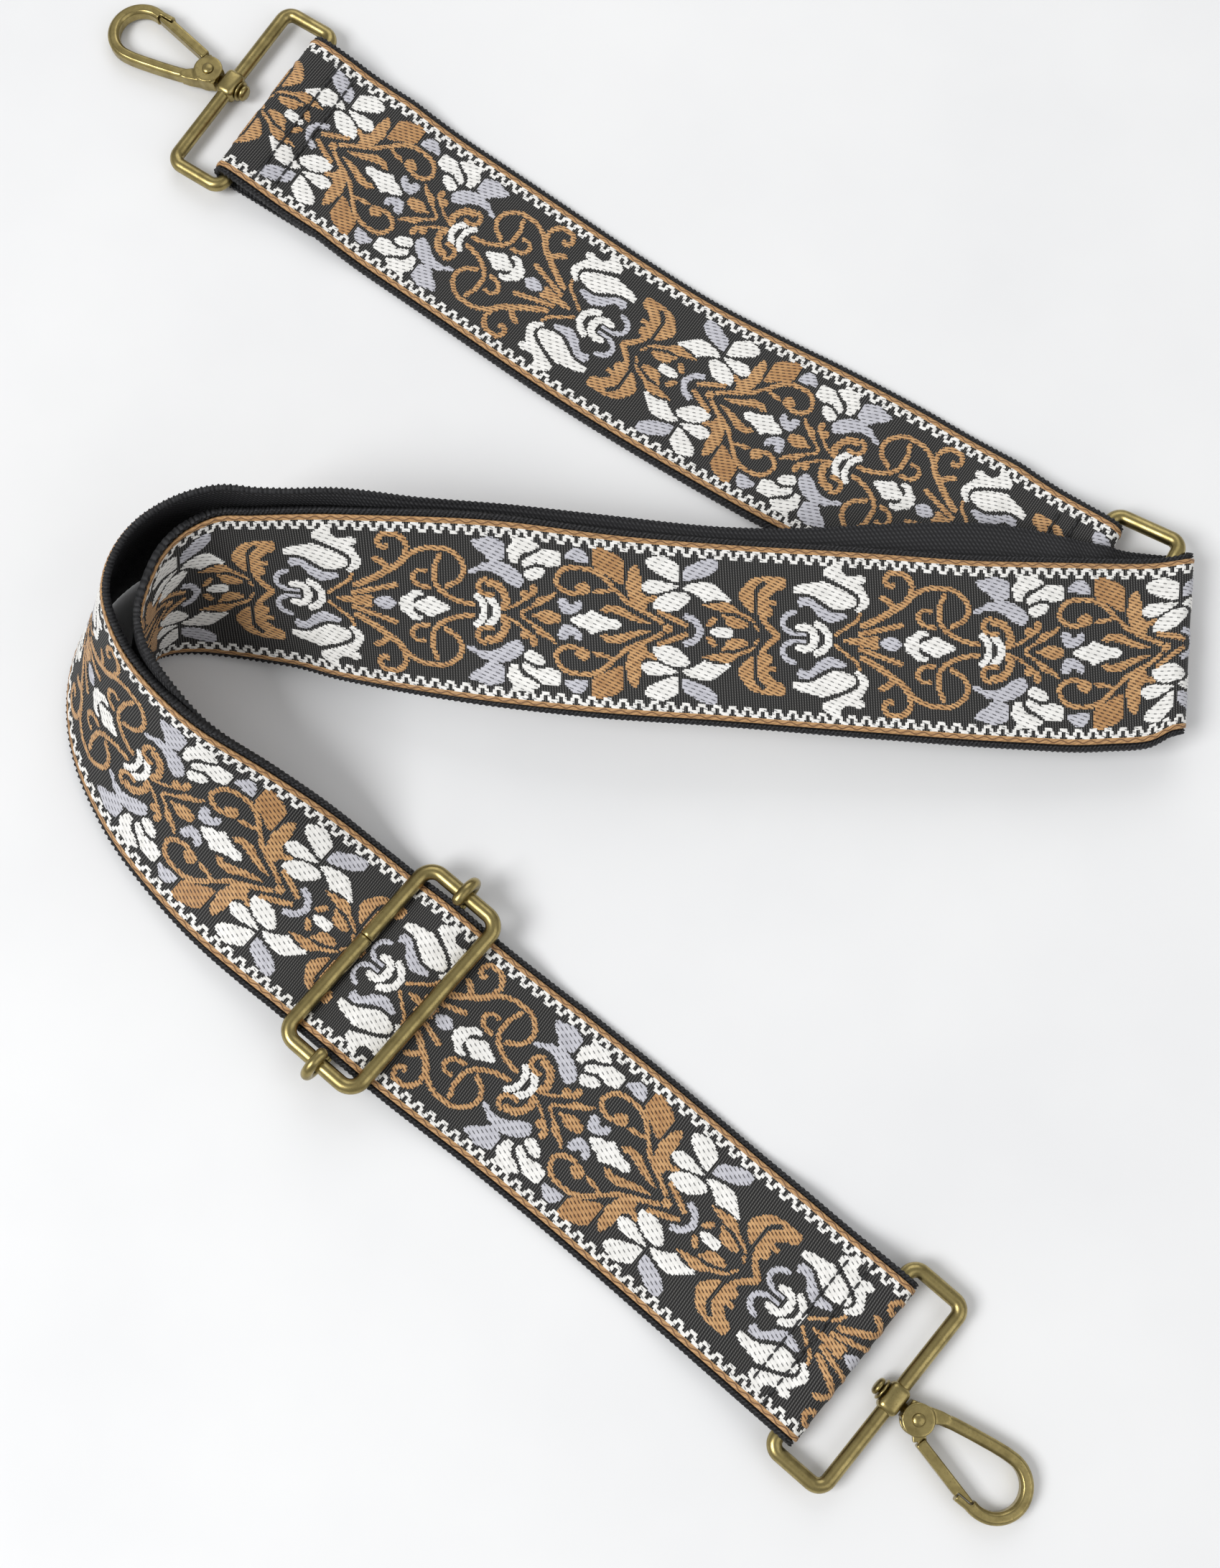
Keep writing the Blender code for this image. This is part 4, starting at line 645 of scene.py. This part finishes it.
def edited_mesh(name, work):
    """The mesh of a shape that was being edited, shaded smooth."""
    mesh = bpy.data.meshes.new(name)
    work.to_mesh(mesh)
    work.free()
    mesh.shade_smooth()
    return mesh


def stitch_line(name, ribbon, where, reach, material):
    """One line of lockstitches across the webbing."""
    half = TRIM_WIDTH / 2 * reach
    count = max(2, round(2 * half / STITCH_LENGTH))
    heights, radii = np.array(STITCH_SHAPE).T * MM
    work = bmesh.new()
    for index in range(count):
        low, high = (-half + 2 * half * (index + share) / count for share in STITCH_SPAN_SHARES)
        points = ribbon.at(np.array([where]), np.linspace(low, high, len(heights)), heights[None])
        work.from_mesh(tube_mesh(name, points[0], radii, 10))
    return add_object(name, edited_mesh(name, work), material)


# Metal

def axis_frame(origin, heading, dip):
    turn = Matrix.Rotation(math.radians(heading), 4, "Z") @ Matrix.Rotation(math.radians(dip), 4, "Y")
    return Matrix.Translation(Vector(origin)) @ turn


def rounded_rectangle(half_x, half_y, corner, steps=10, spacing=0.001):
    points = []
    for quarter, (sign_x, sign_y) in enumerate(((1, 1), (-1, 1), (-1, -1), (1, -1))):
        for step in range(steps + 1):
            angle = math.pi / 2 * (quarter + step / steps)
            x = sign_x * (half_x - corner) + corner * math.cos(angle)
            y = sign_y * (half_y - corner) + corner * math.sin(angle)
            points.append((x, y, 0))
    result = []
    for one, two in zip(points, points[1:] + points[:1]):
        cells = max(1, int(math.dist(one, two) / spacing))
        for cell in range(cells):
            result.append([a + (b - a) * cell / cells for a, b in zip(one, two)])
    return np.array(result)


def shifted(matrix, x):
    return matrix @ Matrix.Translation((x, 0, 0))


def through(matrix, points):
    matrix = np.array(matrix)
    return np.array(points) @ matrix[:3, :3].T + matrix[:3, 3]


def wire_ring(name, matrix, spacing, length, corner, radius, material, joint=None):
    """A closed wire rectangle; joint is where its two ends meet, as a share along its far long side."""
    points = rounded_rectangle(spacing / 2, length / 2, corner)
    radii = np.full(len(points), radius)
    if joint is not None:
        spot = np.array([-spacing / 2, joint * length / 2, 0])
        start = np.linalg.norm(points - spot, axis=1).argmin()
        points = np.roll(points, -start, 0)
        end = points[0]
        ahead = (points[1] - end) / np.linalg.norm(points[1] - end)
        steps = np.array(JOINT_STEPS)[:, None]
        points = np.concatenate([end + ahead * steps, points[1:], end - ahead * steps[::-1]])
        radii = np.full(len(points), radius)
        radii[[0, -1]] *= JOINT_RADIUS_SHARE
    mesh = tube_mesh(name, through(matrix, points), radii, 28, joint is None, JOINT_BULGE_SHARE)
    return add_object(name, mesh, material)


def lathe(name, matrix, profile, material, sides=40):
    """A turned shape: (distance along the axis, radius) pairs round the local X axis."""
    profile = np.array(profile)
    angle = np.linspace(0, 2 * math.pi, sides, endpoint=False)
    grid = np.stack([
        np.repeat(profile[:, :1], sides, 1), profile[:, 1:] * np.cos(angle), profile[:, 1:] * np.sin(angle),
    ], -1)
    return add_object(name, grid_mesh(name, through(matrix, grid)), material)


def plate_mesh(matrix, outline, half):
    """A flat plate with the given outline."""
    grid = [[(x, y, z) for x, y in outline] for z in (-half, half)]
    return grid_mesh("plate", through(matrix, grid))


def softened(node, name, voxel, passes, material, added=None):
    """The frame's solid with its edges rounded as in a casting."""
    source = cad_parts[node]
    mesh = source.data.copy()
    mesh.transform(source.matrix_world)
    mesh.materials.clear()
    if added:
        work = bmesh.new()
        work.from_mesh(mesh)
        work.from_mesh(added)
        work.to_mesh(mesh)
        work.free()
    item = add_object(name, mesh, material)
    remesh = item.modifiers.new("remesh", "REMESH")
    remesh.mode = "VOXEL"
    remesh.voxel_size = voxel
    smooth = item.modifiers.new("smooth", "SMOOTH")
    smooth.factor = 0.5
    smooth.iterations = passes
    bpy.context.view_layer.update()
    graph = bpy.context.evaluated_depsgraph_get()
    result = bpy.data.meshes.new_from_object(item.evaluated_get(graph))
    item.modifiers.clear()
    item.data = result
    result.shade_smooth()
    if not result.materials:
        result.materials.append(material)
    return item


# Materials

def set_inputs(node, **values):
    for name, value in values.items():
        node.inputs[name.replace("_", " ")].default_value = value


def principled(name, colour, roughness, metallic=0.0):
    material = bpy.data.materials.new(name)
    material.use_nodes = True
    shader = material.node_tree.nodes["Principled BSDF"]
    set_inputs(shader, Base_Color=(*colour, 1), Roughness=roughness, Metallic=metallic)
    return material, material.node_tree, shader


class Value:
    """A number in a shader's tree. Sums and products of it add the nodes that work them out."""

    def __init__(self, tree, socket):
        self.tree, self.socket = tree, socket

    def math(self, operation, *others):
        node = self.tree.nodes.new("ShaderNodeMath")
        node.operation = operation
        for socket, value in zip(node.inputs, (self, *others)):
            if isinstance(value, Value):
                self.tree.links.new(value.socket, socket)
            else:
                socket.default_value = value
        return Value(self.tree, node.outputs[0])

    def __add__(self, other):
        return self.math("ADD", other)

    def __sub__(self, other):
        return self.math("SUBTRACT", other)

    def __mul__(self, other):
        return self.math("MULTIPLY", other)

    def __truediv__(self, other):
        return self.math("DIVIDE", other)

    def __abs__(self):
        return self.math("ABSOLUTE")

    def wave(self, period):
        """A sine of the value, between 0 and 1."""
        return (self * (2 * math.pi / period)).math("SINE") * 0.5 + 0.5

    def between(self, low, high):
        """How far the value is from low to high, as a share."""
        node = self.tree.nodes.new("ShaderNodeMapRange")
        set_inputs(node, From_Min=low, From_Max=high)
        self.tree.links.new(self.socket, node.inputs["Value"])
        return Value(self.tree, node.outputs[0])

    def mix(self, one, two):
        """The colour between two others that the value picks; the first may be a socket."""
        node = self.tree.nodes.new("ShaderNodeMix")
        node.data_type = "RGBA"
        if isinstance(one, tuple):
            node.inputs[6].default_value = (*one, 1)
        else:
            self.tree.links.new(one, node.inputs[6])
        node.inputs[7].default_value = (*two, 1)
        self.tree.links.new(self.socket, node.inputs[0])
        return node.outputs[2]

    def paint(self, shader, one, two):
        """The colour between two others as the shader's own."""
        self.tree.links.new(self.mix(one, two), shader.inputs["Base Color"])

    def bump(self, shader, strength, distance):
        """The value as the shader's height."""
        node = self.tree.nodes.new("ShaderNodeBump")
        set_inputs(node, Strength=strength, Distance=distance)
        self.tree.links.new(self.socket, node.inputs["Height"])
        self.tree.links.new(node.outputs["Normal"], shader.inputs["Normal"])


def weave_axes(tree):
    """Distance along the pattern and out from its middle line, in mm."""
    node = tree.nodes.new("ShaderNodeUVMap")
    node.uv_map = "weave"
    split = tree.nodes.new("ShaderNodeSeparateXYZ")
    tree.links.new(node.outputs[0], split.inputs[0])
    return Value(tree, split.outputs[0]), Value(tree, split.outputs[1])


def dashes(u, v, slope, pitch, width, length, share):
    """Short lines along slanted rows, each row's lines shifted, and a number of its own for each line."""
    rows = (u * slope + v) / pitch
    row = (rows + 0.5).math("FLOOR")
    near = (abs(rows - row) / width * -1 + 1).math("MAXIMUM", 0)
    place = row * 0.618 + u / length
    on = place.math("FRACT").math("LESS_THAN", share)
    number = row * 7.31 + place.math("FLOOR") * 3.77
    chance = (number.math("SINE") * 437.5).math("FRACT")
    return near, on, chance


def thread_material(name, light, shade, dark, ridge_shade, *floats):
    """Raised floats of thread that run slantwise along the band, with painted shade in the gaps where they are
    bound and, by the ridge share, along the rows between them.
    """
    material, tree, shader = principled(name, light, 0.55)
    near, on, chance = dashes(*weave_axes(tree), *floats)
    # Painted shade: the dark colour fills the gaps where floats are bound and, by the ridge share, the rows
    # between floats.
    shaded_gap = (near * 1.7).math("MINIMUM", 1) * on
    shaded_hollow = shaded_gap.math("MAXIMUM", near * ridge_shade)
    shaded_hollow.paint(shader, (chance * 0.8).mix(light, shade), dark)
    (shaded_hollow * -1 + 1).bump(shader, 0.8, 0.00022)
    set_inputs(shader, Sheen_Weight=0.1, Specular_IOR_Level=0.4)
    return material


def ground_material(name):
    """Black ground: fine ribs across the band, dotted where the threads cross, with painted highlights on the
    rib tops and painted shade between the ribs.
    """
    material, tree, shader = principled(name, (0.02, 0.021, 0.023), 0.7)
    u, v = weave_axes(tree)
    ribs = (v * 0.06 + u).wave(0.66).math("POWER", 2.1)
    lit_tops = ribs * ((u * 0.8 + v).wave(0.62) * 0.7 + 0.3)
    # Painted highlight on the rib tops and painted shade between the ribs.
    lit_tops.paint(shader, (0.007, 0.007, 0.007), (0.150, 0.146, 0.141))
    lit_tops.bump(shader, 0.7, 0.00014)
    set_inputs(shader, Specular_IOR_Level=0.25)
    return material


def stripe_material(name):
    """Tan cord along the edge, twisted from two threads, with painted shade in the slanted gaps and along the
    line where the threads cross.
    """
    material, tree, shader = principled(name, (0.40, 0.2, 0.08), 0.6)
    u, v = weave_axes(tree)
    near = dashes(u, abs(v), 0.35, 0.62, 0.42, 1.9, 0.55)[0]
    turn = (u * (2 * math.pi * EDGE_TEETH / REPEAT)).math("SINE")
    off = abs(abs(v) - (turn * 0.30 + STRIPE_MIDDLE_MM))
    # Painted shade along the line where the two threads cross and in the slanted gaps between them.
    shaded_crossing = (off * -3.6 + 1.1).math("MAXIMUM", 0)
    shaded_gap = (near * 0.45).math("MAXIMUM", shaded_crossing * 0.9)
    shaded_gap.paint(shader, (0.53, 0.305, 0.130), (0.085, 0.030, 0.012))
    (shaded_gap * -1 + 1).bump(shader, 0.7, 0.0002)
    return material


def backing_material(name):
    """Black webbing with small slanted threads, with painted highlights on their tops and painted shade between
    them.
    """
    material, tree, shader = principled(name, (0.02, 0.02, 0.021), 0.65)
    u, v = weave_axes(tree)
    lit_tops = (v * 0.7 + u).wave(1.1) * (v.wave(1.1) * 0.7 + 0.3)
    # Painted highlight on the thread tops and painted shade between them.
    lit_tops.paint(shader, (0.007, 0.007, 0.008), (0.046, 0.046, 0.049))
    lit_tops.bump(shader, 0.8, 0.00025)
    set_inputs(shader, Specular_IOR_Level=0.3)
    return material


def noise(tree, scale, detail, roughness):
    place = tree.nodes.new("ShaderNodeTexCoord")
    node = tree.nodes.new("ShaderNodeTexNoise")
    set_inputs(node, Scale=scale, Detail=detail, Roughness=roughness)
    tree.links.new(place.outputs["Object"], node.inputs["Vector"])
    return Value(tree, node.outputs["Fac"])


def brass_material(name, light, dark, spread):
    """Antique brass: warm where it is rubbed, olive brown where the finish stays."""
    material, tree, shader = principled(name, light, 0.34, 1.0)
    specks = noise(tree, 1900, 3, 0.6)
    patches = noise(tree, 260, 5, 0.65).between(0.40, 0.66) * spread
    worn = patches.math("MAXIMUM", specks.between(0.56, 0.70) * 0.75)
    worn.paint(shader, light, dark)
    tree.links.new((worn * 0.12 + 0.28).socket, shader.inputs["Roughness"])
    specks.bump(shader, 0.06, 0.00004)
    return material


# The object

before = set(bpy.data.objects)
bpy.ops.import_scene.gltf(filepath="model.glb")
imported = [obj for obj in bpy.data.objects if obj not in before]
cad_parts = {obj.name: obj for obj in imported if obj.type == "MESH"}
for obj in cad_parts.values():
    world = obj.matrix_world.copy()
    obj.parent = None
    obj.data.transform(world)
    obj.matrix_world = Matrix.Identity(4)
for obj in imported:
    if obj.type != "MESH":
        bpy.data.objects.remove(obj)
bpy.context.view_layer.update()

# Name, light and shaded colour, dark colour painted as shade in the gaps between floats, ridge share of that
# painted shade along the rows, and the slope, pitch, width, length and share of the floats
THREADS = (
    ("off_white_thread", (0.86, 0.85, 0.82), (0.71, 0.7, 0.67), (0.24, 0.24, 0.24),
     0.25, 0.33, 1.12, 0.15, 1.9, 0.42),
    ("lilac_thread", (0.55, 0.55, 0.595), (0.44, 0.44, 0.485), (0.12, 0.12, 0.135),
     0.3, 0.33, 1.0, 0.17, 1.9, 0.5),
    ("tan_thread", (0.62, 0.362, 0.158), (0.42, 0.22, 0.085), (0.08, 0.036, 0.014),
     0.5, 0.38, 0.86, 0.26, 1.7, 0.5),
    ("dark_tan_thread", (0.53, 0.292, 0.118), (0.36, 0.18, 0.066), (0.07, 0.03, 0.012),
     0.5, 0.38, 0.92, 0.24, 1.6, 0.5),
)
threads = [thread_material(*thread) for thread in THREADS]
trim_materials = (ground_material("trim_ground"), *threads, stripe_material("edge_stripe"))
webbing_black = backing_material("webbing_black")
thread_black, _, _ = principled("sewing_thread_black", (0.018, 0.018, 0.019), 0.55)
brass = brass_material("antique_brass_worn", (0.385, 0.310, 0.130), (0.185, 0.145, 0.058), 0.75)
steel, _, _ = principled("spring_steel_bare", (0.45, 0.45, 0.46), 0.3, 1.0)

cells = pattern_cells()
long_ribbon = Ribbon(long_rows())
short_ribbon = Ribbon(short_rows())

SLIDER_X = SLIDER_BAR_SHARES[0] * LAY_SPAN + LAY_SHIFT_X
SLIDER_Y = SLIDER_BAR_SHARES[1] * LAY_SPAN + LAY_SHIFT_Y
SEAM_DISTANCES = (0.0470, 0.0525)
OVER_SLIDER = 0.2052
BEND_END = 0.3670
INNER_START = 0.9000
# name, start, end, the body at the start, the body at the end, and the x where the change begins and ends
LONG_PIECES = (
    ("hook_end", 0.0, OVER_SLIDER, "long_strap", "slider", 0.130, 0.040),
    ("lower_bend", OVER_SLIDER, BEND_END, "slider", "long_strap", -0.002, -0.062),
    ("band", BEND_END, INNER_START, "long_strap", None, 0, 0),
    ("inner_bend", INNER_START, long_ribbon.length, "long_strap", "slider", -0.062, -0.002),
)


def dress(piece, slot, body, other, start_x, end_x, *nodes):
    if other is None:
        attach(piece, body)
    else:
        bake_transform(piece)
    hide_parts(*nodes)


for tag, start, end, body, other, start_x, end_x in LONG_PIECES:
    first, last = tag == "hook_end", tag == "inner_bend"
    trim_start = start + (TRIM_END_INSET if first else 0)
    trim_end = end - (TRIM_END_INSET if last else 0)
    seams = SEAM_DISTANCES if first else ()
    trim = trim_piece(
        f"long_trim_{tag}", long_ribbon, LONG_PHASE, trim_start, trim_end, cells, trim_materials, seams,
    )
    dress(trim, "long_trim", body, other, start_x, end_x, "long_jacquard")
    back = backing_piece(f"long_backing_{tag}", long_ribbon, start, end, webbing_black)
    dress(back, "black_webbing", body, other, start_x, end_x, "long_webbing")

far_seams = tuple(short_ribbon.length - where for where in SEAM_DISTANCES)
short_trim = trim_piece(
    "short_trim_sheet", short_ribbon, SHORT_PHASE, TRIM_END_INSET, short_ribbon.length - TRIM_END_INSET,
    cells, trim_materials, SEAM_DISTANCES + far_seams,
)
dress(short_trim, "short_trim", "short_strap", None, 0, 0, "short_jacquard")
short_back = backing_piece("short_backing_sheet", short_ribbon, 0.0, short_ribbon.length, webbing_black)
dress(short_back, "black_webbing", "short_strap", None, 0, 0, "short_webbing")

SEAMS = (
    ("seam_hook_2", long_ribbon, SEAM_DISTANCES, "long_strap"),
    ("seam_hook_1", short_ribbon, far_seams, "short_strap"),
    ("seam_ring", short_ribbon, SEAM_DISTANCES, "short_strap"),
)
for node, ribbon, distances, body in SEAMS:
    for number, (where, reach) in enumerate(zip(distances, SEAM_REACH_SHARES), 1):
        line = stitch_line(f"{node}_stitches_{number}", ribbon, where, reach, thread_black)
        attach(line, body)
        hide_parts(node)


def metal_piece(item, body, *nodes):
    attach(item, body)
    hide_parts(*nodes)


ring_tilt = -math.degrees(math.asin(RING_RISE / RING_BAR_SPACING))
ring_frame = shifted(axis_frame(ring_bar_middle(1), RING_HEADING, ring_tilt), RING_BAR_SPACING / 2)
ring = wire_ring(
    "ring_wire", ring_frame, RING_BAR_SPACING, RING_LENGTH, RING_CORNER_RADIUS, RING_WIRE_RADIUS, brass,
)
metal_piece(ring, "ring", "connector_ring")

bar_height = FACE_DEPTH + wrap_radius(CENTER_BAR_RADIUS)
stack = 3 * FACE_DEPTH + 3 * BACK_DEPTH + 3 * SEAT_GAP
frame_height = stack + SLIDER_WIRE_RADIUS
slider_frame = Matrix.Translation((SLIDER_X, SLIDER_Y, frame_height))
slider = wire_ring(
    "slider_wire", slider_frame, SLIDER_BAR_SPACING, SLIDER_LENGTH, SLIDER_CORNER_RADIUS, SLIDER_WIRE_RADIUS,
    brass, joint=SLIDER_JOINT_SHARE,
)
metal_piece(slider, "slider", "slider_frame")
drop = bar_height - frame_height
eye = SLIDER_WIRE_RADIUS + CURL_CLEARANCE + CENTER_BAR_RADIUS
side = [(0, CENTER_BAR_STRAIGHT / 2 + out * eye, drop + up * eye) for out, up in BAR_RISE_SHARES]
for angle in CURL_ANGLES:
    angle = math.radians(angle)
    side.append((0, SLIDER_LENGTH / 2 + eye * math.cos(angle), eye * math.sin(angle)))
path = [(x, -y, z) for x, y, z in reversed(side)] + side
path = smooth_line(path, False, 5)
bar_radii = np.full(len(path), CENTER_BAR_RADIUS)
for step in range(CENTER_BAR_FLARE_STEPS):
    flare = CENTER_BAR_FLARE_SHARE * math.cos(step / CENTER_BAR_FLARE_STEPS * math.pi / 2)
    bar_radii[[step, -1 - step]] *= 1 + flare
bar_mesh = tube_mesh("slider_bar_wire", through(slider_frame, path), bar_radii)
bar = add_object("slider_bar_wire", bar_mesh, brass)
metal_piece(bar, "slider", "slider_center_bar")

HOOKS = ((1, HOOK_1_BAR_SHARES, HOOK_1_HEADING), (2, HOOK_2_BAR_SHARES, HOOK_2_HEADING))
for number, bar_shares, heading in HOOKS:
    height = FACE_DEPTH + wrap_radius(LOOP_WIRE_RADIUS)
    base = axis_frame(lay_point(bar_shares, height), heading, HOOK_DIP_DEGREES)
    loop_frame = shifted(base, LOOP_BAR_SPACING / 2)
    loop = wire_ring(
        f"hook_{number}_loop_wire", loop_frame, LOOP_BAR_SPACING, LOOP_LENGTH, LOOP_CORNER_RADIUS,
        LOOP_WIRE_RADIUS, brass,
    )
    metal_piece(loop, f"loop_{number}", f"hook_{number}_loop")
    hook_frame = shifted(base, LOOP_BAR_SPACING)
    work = bmesh.new()
    bmesh.ops.create_cube(work, size=1)
    bmesh.ops.scale(work, vec=BOSS_SIZE, verts=work.verts)
    bmesh.ops.bevel(work, geom=list(work.edges), offset=BOSS_BEVEL, segments=4, profile=0.5, affect="EDGES")
    bmesh.ops.transform(work, matrix=hook_frame, verts=work.verts)
    boss = add_object(f"hook_{number}_loop_boss", edited_mesh("boss", work), brass)
    metal_piece(boss, f"loop_{number}", f"hook_{number}_loop")
    web = plate_mesh(hook_frame, [(x * MM, y * MM) for x, y in HOOK_WEB], HOOK_WEB_HALF)
    body = softened(f"hook_{number}_body", f"hook_{number}_cast_body", HOOK_VOXEL, 8, brass, web)
    metal_piece(body, f"hook_{number}", f"hook_{number}_body")
    gate = softened(f"hook_{number}_gate", f"hook_{number}_cast_gate", GATE_VOXEL, 4, brass)
    metal_piece(gate, f"gate_{number}", f"hook_{number}_gate")
    rivet_frame = shifted(hook_frame, HOOK_RIVET_X) @ Matrix.Rotation(math.radians(-90), 4, "Y")
    for shape, matrix, profile, node in (
        ("turned_pin", hook_frame, PIN_PROFILE, "swivel_pin"),
        ("turned_washer", hook_frame, WASHER_PROFILE, "washer"),
        ("domed_rivet", rivet_frame, RIVET_PROFILE, "gate_rivet"),
    ):
        item = lathe(f"hook_{number}_{shape}", matrix, [(x * MM, r * MM) for x, r in profile], brass)
        metal_piece(item, f"hook_{number}", f"hook_{number}_{node}")
    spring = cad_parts[f"hook_{number}_gate_spring"]
    spring.data.materials.clear()
    spring.data.materials.append(steel)


# Floor, light and camera

FLOOR_HALF = 2
FLOOR_HEIGHT = -0.0002
corners = [(x * FLOOR_HALF, y * FLOOR_HALF, FLOOR_HEIGHT) for x, y in ((-1, -1), (1, -1), (1, 1), (-1, 1))]
floor_mesh = bpy.data.meshes.new("floor")
floor_mesh.from_pydata(corners, [], [(0, 1, 2, 3)])
floor_material, tree, shader = principled("pale_floor", (0.80, 0.80, 0.81), 0.55)
clouds = noise(tree, 9, 4, 0.55).between(0.35, 0.70)
clouds.paint(shader, (0.80, 0.805, 0.81), (0.755, 0.76, 0.77))
floor = add_object("floor", floor_mesh, floor_material)

ROW_TURN = math.radians(39.5)
CAMERA_HEIGHT = 0.530
CAMERA_TILT = math.radians(13.4)
CAMERA_ROLL = math.radians(0.975)
CAMERA_LENS = 47.80


def from_picture(x, y, z):
    """A direction of the picture's frame in the part's frame."""
    c, s = math.cos(ROW_TURN), math.sin(ROW_TURN)
    return Vector((c * x - s * y, s * x + c * y, z))


right = from_picture(1, 0, 0)
up = from_picture(0, math.cos(CAMERA_TILT), math.sin(CAMERA_TILT))
look = from_picture(0, math.sin(CAMERA_TILT), -math.cos(CAMERA_TILT))
level, tipped = math.cos(CAMERA_ROLL), math.sin(CAMERA_ROLL)
LAY_SHIFT = Vector((LAY_SHIFT_X, LAY_SHIFT_Y, 0))
spot = from_picture(0, -CAMERA_HEIGHT * math.tan(CAMERA_TILT), CAMERA_HEIGHT) + LAY_SHIFT
camera_data = bpy.data.cameras.new("camera")
camera_data.lens = CAMERA_LENS
camera_data.sensor_width = 36
camera = bpy.data.objects.new("camera", camera_data)
axes = (right * level + up * tipped, up * level - right * tipped, -look)
matrix = Matrix(axes).transposed().to_4x4()
matrix.translation = spot
camera.matrix_world = matrix
bpy.context.scene.collection.objects.link(camera)
bpy.context.scene.camera = camera


def area_light(name, place, size, power):
    data = bpy.data.lights.new(name, "AREA")
    data.shape = "SQUARE"
    data.size = size
    data.energy = power
    item = bpy.data.objects.new(name, data)
    item.location = from_picture(*place) + LAY_SHIFT
    item.rotation_euler = (-item.location).to_track_quat("-Z", "Y").to_euler()
    bpy.context.scene.collection.objects.link(item)


area_light("key", (-1.3, -0.6, 1.7), 0.97, 36)
area_light("fill", (0.9, -0.5, 1.0), 1.2, 4.2)
area_light("back", (0.1, 1.1, 0.9), 1.0, 4.2)
world = bpy.data.worlds.new("studio")
world.use_nodes = True
set_inputs(world.node_tree.nodes["Background"], Color=(1, 1, 1, 1), Strength=0.40)
bpy.context.scene.world = world
bpy.context.scene.view_settings.view_transform = "Standard"
